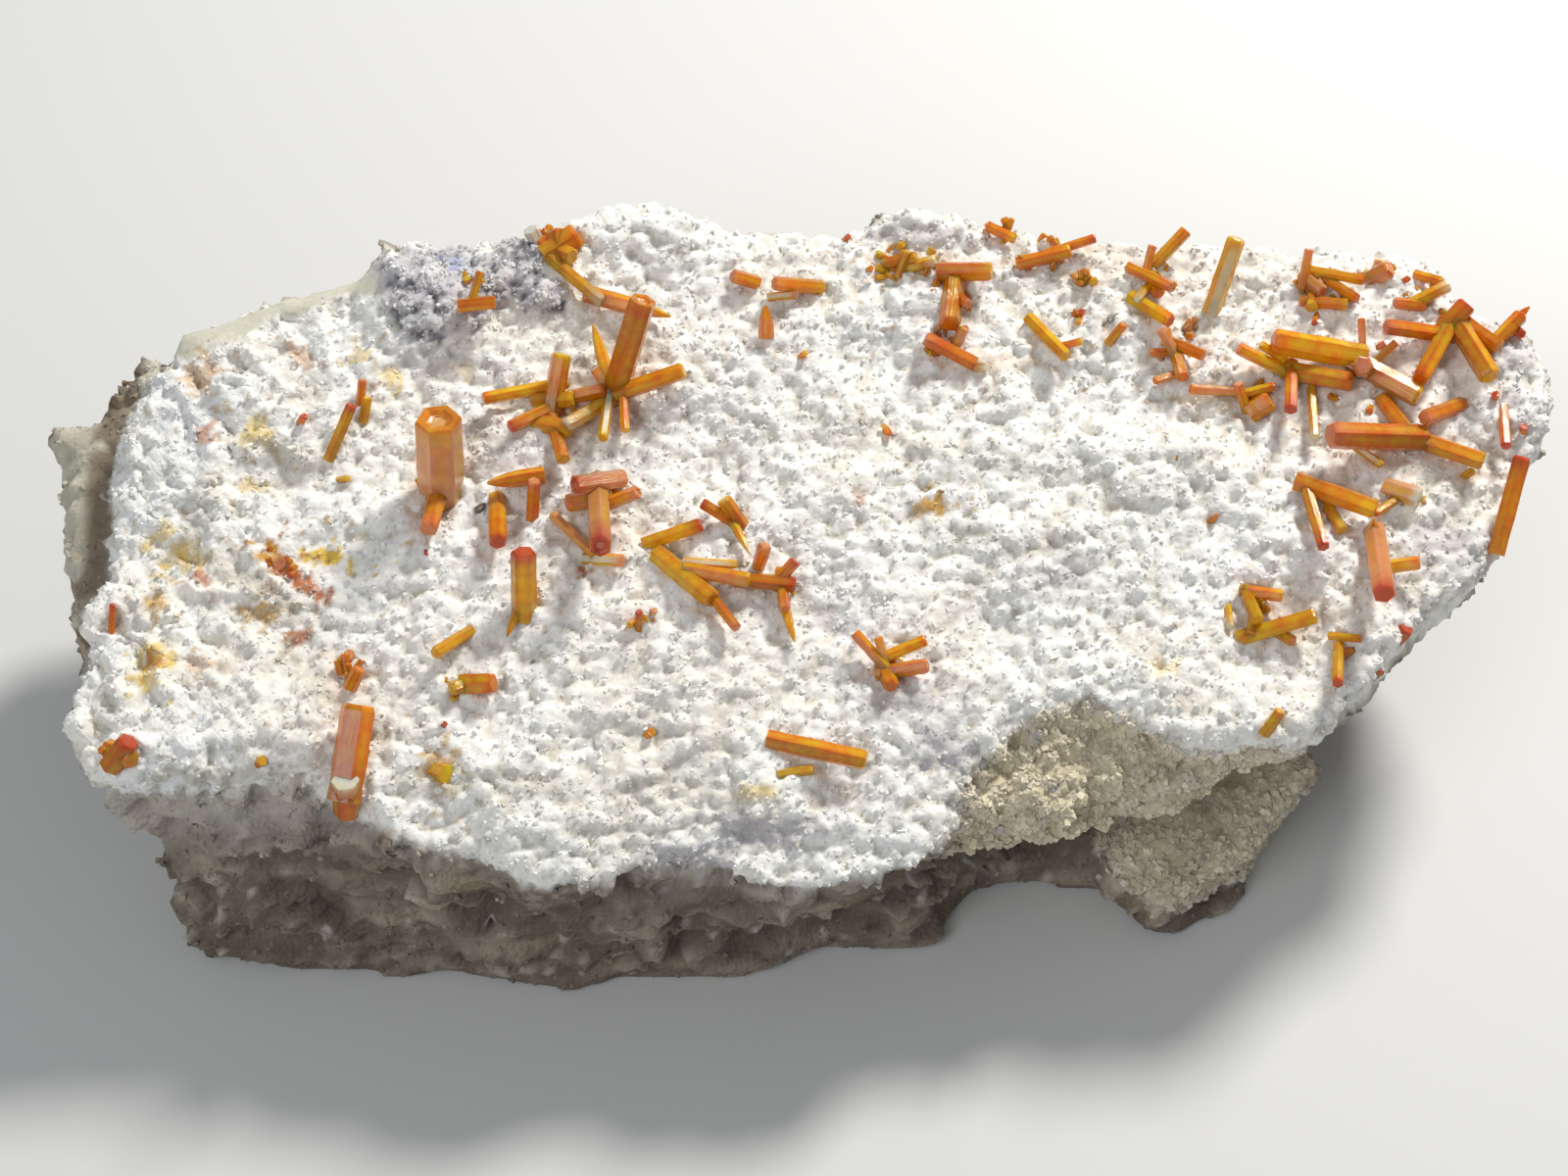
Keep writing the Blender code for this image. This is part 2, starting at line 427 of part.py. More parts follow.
ELEVATION = math.radians(EYE_ELEVATION_DEG)
FORWARD = Vector((0.0, math.cos(ELEVATION), -math.sin(ELEVATION)))
UPWARD = Vector((0.0, math.sin(ELEVATION), math.cos(ELEVATION)))
EYE = Vector((0.0, 0.0, FACE_HEIGHT)) - EYE_DISTANCE * FORWARD
FACE_RISE = math.tan(math.radians(FACE_RISE_DEG))
FACE_NORMAL = Vector((0.0, -FACE_RISE, 1.0)).normalized()


def sight(pixel):
    """The direction from the eye through a reading."""
    across = (pixel[0] - MIDDLE_PX[0]) / FOCAL_PX
    up = (MIDDLE_PX[1] - pixel[1]) / FOCAL_PX
    return FORWARD + across * Vector((1.0, 0.0, 0.0)) + up * UPWARD


def on_level(pixel, height):
    """The point of a reading that lies this high."""
    ray = sight(pixel)
    return EYE + ray * ((height - EYE.z) / ray.z)


def face_height(y):
    return FACE_HEIGHT + FACE_RISE * y


def on_face(pixel, lift=0.0):
    """The point of a reading that lies this far over the nominal face."""
    ray = sight(pixel)
    drop = EYE.z - face_height(EYE.y) - lift
    return EYE + ray * (drop / (FACE_RISE * ray.y - ray.z))


def clear_scene():
    for item in list(bpy.data.objects):
        bpy.data.objects.remove(item, do_unlink=True)


def material(recipe):
    name, colour, roughness, clearness = recipe
    made = bpy.data.materials.get(name) or bpy.data.materials.new(name)
    made.use_nodes = True
    shader = made.node_tree.nodes["Principled BSDF"]
    shader.inputs["Base Color"].default_value = colour
    shader.inputs["Roughness"].default_value = roughness
    shader.inputs["Metallic"].default_value = 0.0
    shader.inputs["Transmission Weight"].default_value = clearness
    return made


def add_object(name, mesh, recipe=None):
    item = bpy.data.objects.new(name, mesh)
    bpy.context.scene.collection.objects.link(item)
    if recipe:
        mesh.materials.append(material(recipe))
    return item


def baked(item, name):
    """The mesh of an object with its modifiers worked out, and the object gone."""
    bpy.context.view_layer.update()
    graph = bpy.context.evaluated_depsgraph_get()
    mesh = bpy.data.meshes.new_from_object(item.evaluated_get(graph))
    mesh.name = name
    bpy.data.objects.remove(item, do_unlink=True)
    return mesh


def crossing(points, centre, angle):
    """Where the closed outline meets the ray that leaves the centre at this angle."""
    aim = Vector((math.cos(angle), math.sin(angle)))
    best = None
    for here, there in zip(points, points[1:] + points[:1]):
        a = here.xy - centre
        b = there.xy - centre
        edge = b - a
        turn = aim.x * edge.y - aim.y * edge.x
        if abs(turn) < 1e-12:
            continue
        reach = (a.x * edge.y - a.y * edge.x) / turn
        share = (a.x * aim.y - a.y * aim.x) / turn
        if 0.0 <= share <= 1.0 and reach > 0.0 and (best is None or reach > best[0]):
            best = (reach, here.lerp(there, share))
    return best[1]


def ring(points, centre):
    turn = 2.0 * math.pi / RING_POINTS
    return [crossing(points, centre, turn * i) for i in range(RING_POINTS)]


def bridge(bm, lower, upper):
    for i, (a, b) in enumerate(zip(lower, upper)):
        after = (i + 1) % len(lower)
        bm.faces.new((a, lower[after], upper[after], b))


def fan(bm, verts, middle, up):
    hub = bm.verts.new(middle)
    for i, vert in enumerate(verts):
        after = verts[(i + 1) % len(verts)]
        bm.faces.new((vert, after, hub) if up else (after, vert, hub))


def add_slab(bm):
    """The main body: the face's edge, the waist and the foot, lofted."""
    centre = Vector(SLAB_CENTRE)
    edge = [on_face(p) for p in FACE_EDGE_PX]
    waist = [on_level(p, WAIST_LEVEL) for p in WAIST_FRONT_PX]
    waist += [Vector((x, y, WAIST_LEVEL)) for x, y in WAIST_BACK]
    foot = [on_level(p, 0.0) for p in FOOT_FRONT_PX] + [Vector((x, y, 0.0)) for x, y in FOOT_BACK]
    below = [Vector((p.x, p.y, FOOT_LEVEL)) for p in foot]
    top = ring(edge, centre)
    lip = [p - Vector((0.0, 0.0, LIP_HEIGHT)) for p in top]
    rings = [ring(below, centre), ring(foot, centre), ring(waist, centre), lip, top]
    rows = [[bm.verts.new(p) for p in row] for row in rings]
    for lower, upper in zip(rows, rows[1:]):
        bridge(bm, lower, upper)
    fan(bm, rows[-1], Vector((centre.x, centre.y, face_height(centre.y))), True)
    fan(bm, rows[0], Vector((centre.x, centre.y, FOOT_LEVEL)), False)


def add_ledge(bm, outline_px, lift, thickness):
    """A block under an outline of readings, its sides drawn in a little downwards."""
    top = [on_face(p, lift) for p in outline_px]
    middle = sum(top, Vector()) / len(top)
    low = [middle + (p - middle) * LEDGE_DRAW_IN - Vector((0.0, 0.0, thickness)) for p in top]
    for p in low:
        p.z = max(p.z, FOOT_LEVEL)
    upper = [bm.verts.new(p) for p in reversed(top)]
    lower = [bm.verts.new(p) for p in reversed(low)]
    bridge(bm, lower, upper)
    fan(bm, upper, middle, True)
    fan(bm, lower, sum(low, Vector()) / len(low), False)


def add_lump(bm, pixel, half, turn):
    place = Matrix.Translation(on_face(pixel)) @ Matrix.Rotation(math.radians(FACE_RISE_DEG), 4, "X")
    place = place @ Matrix.Rotation(math.radians(turn), 4, "Z") @ Matrix.Diagonal((*half, 1.0))
    bmesh.ops.create_icosphere(bm, subdivisions=3, radius=1.0, matrix=place)


def roughness_at(point):
    """How far the skin stands out here, from coarse and fine noise."""
    coarse_size, coarse_depth = ROUGH_COARSE
    fine_size, fine_depth = ROUGH_FINE
    coarse = noise.noise(point / coarse_size)
    fine = noise.noise(point / fine_size + FINE_SHIFT)
    ridge = 0.5 - abs(noise.noise(point / RIDGE_SIZE + RIDGE_SHIFT))
    return coarse_depth * coarse + fine_depth * fine + 0.5 * fine_depth * ridge


def flank_relief(point):
    """Broken ledges and hollows of the sides, in uneven beds."""
    size, depth = ROUGH_FLANK
    broad = noise.noise(point / size + FLANK_SHIFT)
    wander = BED_WANDER * noise.noise(point / BED_WANDER_SIZE)
    bed = math.sin(2.0 * math.pi * point.z / BED_HEIGHT + wander)
    return depth * broad + BED_DEPTH * bed * (0.6 + broad)


def pit_places():
    """Centre, radius and depth of every pit."""
    places = [(on_face(pixel), radius, depth) for pixel, radius, depth in PITS]
    pixel, level, radius, depth = KNOB_HOLE
    return places + [(on_level(pixel, level), radius, depth)]


def pit_depth(point, places):
    depth = 0.0
    for spot, radius, deepest in places:
        away = (point - spot).length / radius
        depth += deepest * math.exp(-2.0 * away * away)
    return depth


def clamped(share):
    return min(max(share, 0.0), 1.0)


def front_roll(point):
    """How far the face bends down here towards its front edge."""
    if point.x > FRONT_ROLL_RIGHT_END:
        return 0.0
    return FACE_ROLL_OFF * clamped((FRONT_ROLL_FROM - point.y) / FRONT_ROLL_REACH) ** 2


def weather(mesh):
    """Roughens the skin, sinks the pits and rolls the front edge down."""
    mesh.update()
    places = pit_places()
    moves = []
    for vert in mesh.vertices:
        normal = vert.normal
        out = roughness_at(vert.co)
        if normal.z > FACE_FROM:
            out -= pit_depth(vert.co, places) + front_roll(vert.co)
        steep = max(0.0, 1.0 - abs(normal.z) / SIDE_UP_TO)
        out += steep * flank_relief(vert.co) * clamped((FLANK_TOP - vert.co.z) / FLANK_FADE)
        moves.append(vert.co + normal * out)
    for vert, moved in zip(mesh.vertices, moves):
        vert.co = moved


def remesh(item, size, smooth_times):
    grid = item.modifiers.new("grid", "REMESH")
    grid.mode = "VOXEL"
    grid.voxel_size = size
    grid.adaptivity = 0.0
    if smooth_times:
        smooth = item.modifiers.new("smooth", "SMOOTH")
        smooth.factor = 0.5
        smooth.iterations = smooth_times


def thinned(mesh, name, triangles):
    item = add_object(name, mesh)
    thin = item.modifiers.new("thin", "DECIMATE")
    mesh.calc_loop_triangles()
    thin.ratio = triangles / len(mesh.loop_triangles)
    thin.use_collapse_triangulate = True
    return baked(item, name)


def ground_cutter():
    """A block whose top is the plane that the rock rests on."""
    bm = bmesh.new()
    place = Matrix.Translation((0.0, 0.0, -0.5 * GROUND_SIZE))
    bmesh.ops.create_cube(bm, size=GROUND_SIZE, matrix=place)
    mesh = bpy.data.meshes.new("ground_cutter")
    bm.to_mesh(mesh)
    bm.free()
    item = add_object("ground_cutter", mesh)
    item.hide_render = True
    item.display_type = "WIRE"
    return item


def boolean(item, operation, other, self_cross=False):
    made = item.modifiers.new(operation.lower(), "BOOLEAN")
    made.operation = operation
    made.solver = "EXACT"
    made.use_self = self_cross
    made.object = other


def rock_mesh():
    bm = bmesh.new()
    add_slab(bm)
    for outline, lift, thickness in LEDGES.values():
        add_ledge(bm, outline, lift, thickness)
    for pixel, half, turn in LUMPS:
        add_lump(bm, pixel, half, turn)
    bmesh.ops.recalc_face_normals(bm, faces=bm.faces)
    mesh = bpy.data.meshes.new("rock_blocks")
    bm.to_mesh(mesh)
    bm.free()
    item = add_object("rock_blocks", mesh)
    remesh(item, VOXEL, 2)
    skin = baked(item, "rock_skin")
    weather(skin)
    return thinned(skin, "rock_thin", ROCK_TRIANGLES)


def loose_parts(bm):
    """The connected bodies of a mesh, as sets of vertices."""
    left = set(bm.verts)
    parts = []
    while left:
        seed = left.pop()
        part = {seed}
        queue = [seed]
        while queue:
            for edge in queue.pop().link_edges:
                for vert in edge.verts:
                    if vert in left:
                        left.discard(vert)
                        part.add(vert)
                        queue.append(vert)
        parts.append(part)
    return sorted(parts, key=len, reverse=True)


def volume_of(part):
    faces = {face for vert in part for face in vert.link_faces}
    total = 0.0
    for face in faces:
        a, b, c = (vert.co for vert in face.verts)
        total += a.dot(b.cross(c)) / 6.0
    return total


def keep_main_body(mesh):
    """Leaves the largest body, closes pinholes and makes triangles."""
    bm = bmesh.new()
    bm.from_mesh(mesh)
    bmesh.ops.triangulate(bm, faces=bm.faces)
    parts = loose_parts(bm)
    main = max(parts, key=volume_of)
    bmesh.ops.delete(bm, geom=[v for part in parts if part is not main for v in part], context="VERTS")
    bmesh.ops.dissolve_degenerate(bm, edges=bm.edges, dist=LEAST_EDGE)
    bmesh.ops.triangulate(bm, faces=bm.faces)
    bm.to_mesh(mesh)
    bm.free()


def make_matrix(ground):
    """The rock itself, cut flat where it rests."""
    item = add_object("matrix_cut", rock_mesh())
    boolean(item, "DIFFERENCE", ground)
    mesh = baked(item, "matrix")
    keep_main_body(mesh)
    return add_object("matrix", mesh, STONE)


def make_clearance(matrix):
    """The rock grown by the gap, which trims the crystals."""
    mesh = matrix.data.copy()
    mesh.materials.clear()
    item = add_object("clearance", mesh)
    grow = [v.co + v.normal * GAP for v in mesh.vertices]
    for vert, moved in zip(mesh.vertices, grow):
        vert.co = moved
    remesh(item, CLEARANCE_VOXEL, 0)
    fine = baked(item, "clearance")
    item = add_object("clearance", thinned(fine, "clearance", CLEARANCE_TRIANGLES))
    item.hide_render = True
    item.display_type = "WIRE"
    return item


def hexagon(bm, centre, side, over, radius):
    ring_verts = []
    for i in range(6):
        angle = math.radians(60.0 * i)
        ring_verts.append(bm.verts.new(centre + radius * (math.cos(angle) * side + math.sin(angle) * over)))
    return ring_verts


def end_rings(length, radius, end):
    """Distances along the axis and radii of the rings after the root."""
    slope = min(SLOPE_OF_RADIUS * radius, SLOPE_OF_LENGTH * length)
    if end == POINT:
        shoulder, shoulder_width = POINT_SHOULDER
        back, tip_width = POINT_TIP
        return [(length * shoulder, radius * shoulder_width), (length - back * slope, radius * tip_width)]
    if end == HOLLOW:
        back, rim = HOLLOW_RIM
        depth, floor = HOLLOW_FLOOR
        outside = [(length - back * slope, radius), (length, radius * rim)]
        return outside + [(length, radius * HOLLOW_MOUTH), (length - depth * radius, radius * floor)]
    if end == BEVEL and 2.0 * radius > LEAST_BEVELLED:
        return [(length - BEVEL_SLOPE * slope, radius), (length, radius * BEVEL_TIP)]
    return [(length, radius)]


def add_prism(bm, root, tip, width, end, roll):
    """A six-sided prism from root to tip."""
    axis = (tip - root).normalized()
    length = (tip - root).length
    side = axis.orthogonal().normalized()
    side.rotate(Matrix.Rotation(math.radians(roll), 3, axis))
    over = axis.cross(side)
    radius = 0.5 * width
    rows = [hexagon(bm, root, side, over, radius)]
    for along, wide in end_rings(length, radius, end):
        rows.append(hexagon(bm, root + axis * along, side, over, wide))
    for lower, upper in zip(rows, rows[1:]):
        bridge(bm, lower, upper)
    bm.faces.new(rows[-1])
    bm.faces.new(reversed(rows[0]))


def seated(pixel, lift, skin):
    """The point of a reading that lies this far over the rock's own skin."""
    ray = sight(pixel).normalized()
    hit = skin.ray_cast(EYE, ray)[0]
    nominal = on_face(pixel)
    if hit is None or (hit - nominal).length > SEAT_REACH:
        hit = nominal
    return hit - ray * (lift * FACE_NORMAL.z / -ray.dot(FACE_NORMAL))


def trimmed(name, mesh, clearance, merge_angle):
    """The crystals joined, cut back from the rock, and their nearly flat faces merged."""
    item = add_object(name + "_raw", mesh.copy())
    boolean(item, "DIFFERENCE", clearance, self_cross=True)
    merge = item.modifiers.new("merge", "DECIMATE")
    merge.decimate_type = "DISSOLVE"
    merge.angle_limit = math.radians(merge_angle)
    cut = baked(item, name)
    keep_main_body(cut)
    return cut


def is_closed(mesh):
    bm = bmesh.new()
    bm.from_mesh(mesh)
    closed = all(edge.is_manifold for edge in bm.edges) and all(vert.is_manifold for vert in bm.verts)
    bm.free()
    return closed


def make_crystals(name, rows, skin, clearance):
    bm = bmesh.new()
    for number, (root_px, tip_px, width, root_lift, tip_lift, end) in enumerate(rows):
        root = seated(root_px, root_lift, skin)
        tip = seated(tip_px, tip_lift, skin)
        add_prism(bm, root, tip, width, end, FIRST_TURN_DEG + NEXT_TURN_DEG * number)
    mesh = bpy.data.meshes.new(name)
    bm.to_mesh(mesh)
    bm.free()
    for angle in MERGE_ANGLES_DEG:
        cut = trimmed(name, mesh, clearance, angle)
        if is_closed(cut):
            break
    return add_object(name, cut, PALE if name == "pale_cube" else ORANGE)


def centre_on_origin(items):
    """Puts the middle of the whole specimen's foot at the origin."""
    spots = [item.matrix_world @ vert.co for item in items for vert in item.data.vertices]
    low = [min(spot[axis] for spot in spots) for axis in range(3)]
    high = [max(spot[axis] for spot in spots) for axis in range(3)]
    middle = Vector((0.5 * (low[0] + high[0]), 0.5 * (low[1] + high[1]), low[2]))
    for item in items:
        item.location = -middle


def main():
    clear_scene()
    ground = ground_cutter()
    matrix = make_matrix(ground)
    clearance = make_clearance(matrix)
    skin = BVHTree.FromPolygons(
        [v.co for v in matrix.data.vertices], [list(f.vertices) for f in matrix.data.polygons]
    )
    crystals = [make_crystals(name, rows, skin, clearance) for name, rows in CRYSTALS.items()]
    bpy.data.objects.remove(ground, do_unlink=True)
    bpy.data.objects.remove(clearance, do_unlink=True)
    centre_on_origin([matrix] + crystals)


main()
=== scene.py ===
"""Looks of the vanadinite specimen: granular white crust, waxy rim, dark flanks and orange prisms.

Readings in pixels are places on a 1600 x 1200 picture of the specimen. seated turns one into a point.
"""

import math
import random

import bmesh
import bpy
import numpy as np
from mathutils import Matrix, Vector, noise
from mathutils.bvhtree import BVHTree


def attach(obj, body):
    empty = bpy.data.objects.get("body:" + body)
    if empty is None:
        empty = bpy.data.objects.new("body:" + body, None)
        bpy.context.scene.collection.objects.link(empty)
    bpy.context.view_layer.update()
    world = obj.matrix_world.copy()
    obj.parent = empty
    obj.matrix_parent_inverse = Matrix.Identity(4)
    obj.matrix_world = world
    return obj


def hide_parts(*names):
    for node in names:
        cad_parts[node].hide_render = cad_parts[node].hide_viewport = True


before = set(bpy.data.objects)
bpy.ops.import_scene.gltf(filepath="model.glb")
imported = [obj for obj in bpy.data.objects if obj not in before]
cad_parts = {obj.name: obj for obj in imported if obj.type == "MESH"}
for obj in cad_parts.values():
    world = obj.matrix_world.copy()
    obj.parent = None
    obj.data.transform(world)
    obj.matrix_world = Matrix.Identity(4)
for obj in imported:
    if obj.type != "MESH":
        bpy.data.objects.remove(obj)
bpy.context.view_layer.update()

MM = 0.001
SEED = 11

# The view that the readings belong to, in the part's own frame
EYE_ELEVATION_DEG = 52.0
EYE_DISTANCE = 115.5 * MM
FOCAL_PX = 2755.6
MIDDLE_PX = (800.0, 600.0)
FACE_HEIGHT = 13.2 * MM
FACE_RISE_DEG = 15.0
PART_SHIFT = Vector((-0.547, -4.126, 0.0)) * MM
SEAT_REACH = 2.5 * MM

# Grid of the skin's mesh. It is finer where it points up this much, to this many pixels past the face
VOXEL = 0.38 * MM
FINE_UPWARD = 0.15
FINE_REACH = 14.0
# The skin's relief grows from nothing to all of it between these heights over the ground
RELIEF_HEIGHTS = 0.15 * MM, 1.2 * MM
# What is lower than this stays flat, and the rest keeps this far over the ground
UNDERSIDE = 0.05 * MM
GROUND_GAP = 0.02 * MM
# The crystals' roots go this deep into the rock, and then run on this many millimetres
ROOT_SINK = 0.35 * MM
ROOT_STUB = 0.12
# Width of the crystals' broken edges, and the angle from which an edge is broken
EDGE_BREAK = 0.03 * MM
SHARP_DEG = 25.0

# How far a cell's corners are from its middle, as a share of its size
CELL_REACH = 0.78
# Sizes of the skin's noises
BIG_GRAIN = 0.66 * MM
FINE_GRAIN = 0.36 * MM
ROLL = 1.5 * MM
SWELL = 3.6 * MM
BLOCK = 2.6 * MM
CHIP = 1.0 * MM
STREAK = 0.8 * MM
SUGAR = 1.05 * MM
# Flakes of the face's left part: their stretch, and which way they run, seen from above
FLAKE_STRETCH = 2.2
FLAKE_TURN_DEG = -48.0

ELEVATION = math.radians(EYE_ELEVATION_DEG)
FORWARD = Vector((0.0, math.cos(ELEVATION), -math.sin(ELEVATION)))
UPWARD = Vector((0.0, math.sin(ELEVATION), math.cos(ELEVATION)))
FACE_MIDDLE = Vector((0.0, 0.0, FACE_HEIGHT)) + PART_SHIFT
EYE = FACE_MIDDLE - EYE_DISTANCE * FORWARD
FACE_RISE = math.tan(math.radians(FACE_RISE_DEG))
FACE_NORMAL = Vector((0.0, -FACE_RISE, 1.0)).normalized()

FLAT, BEVEL, TAPER, HOLLOW = "F", "B", "T", "H"

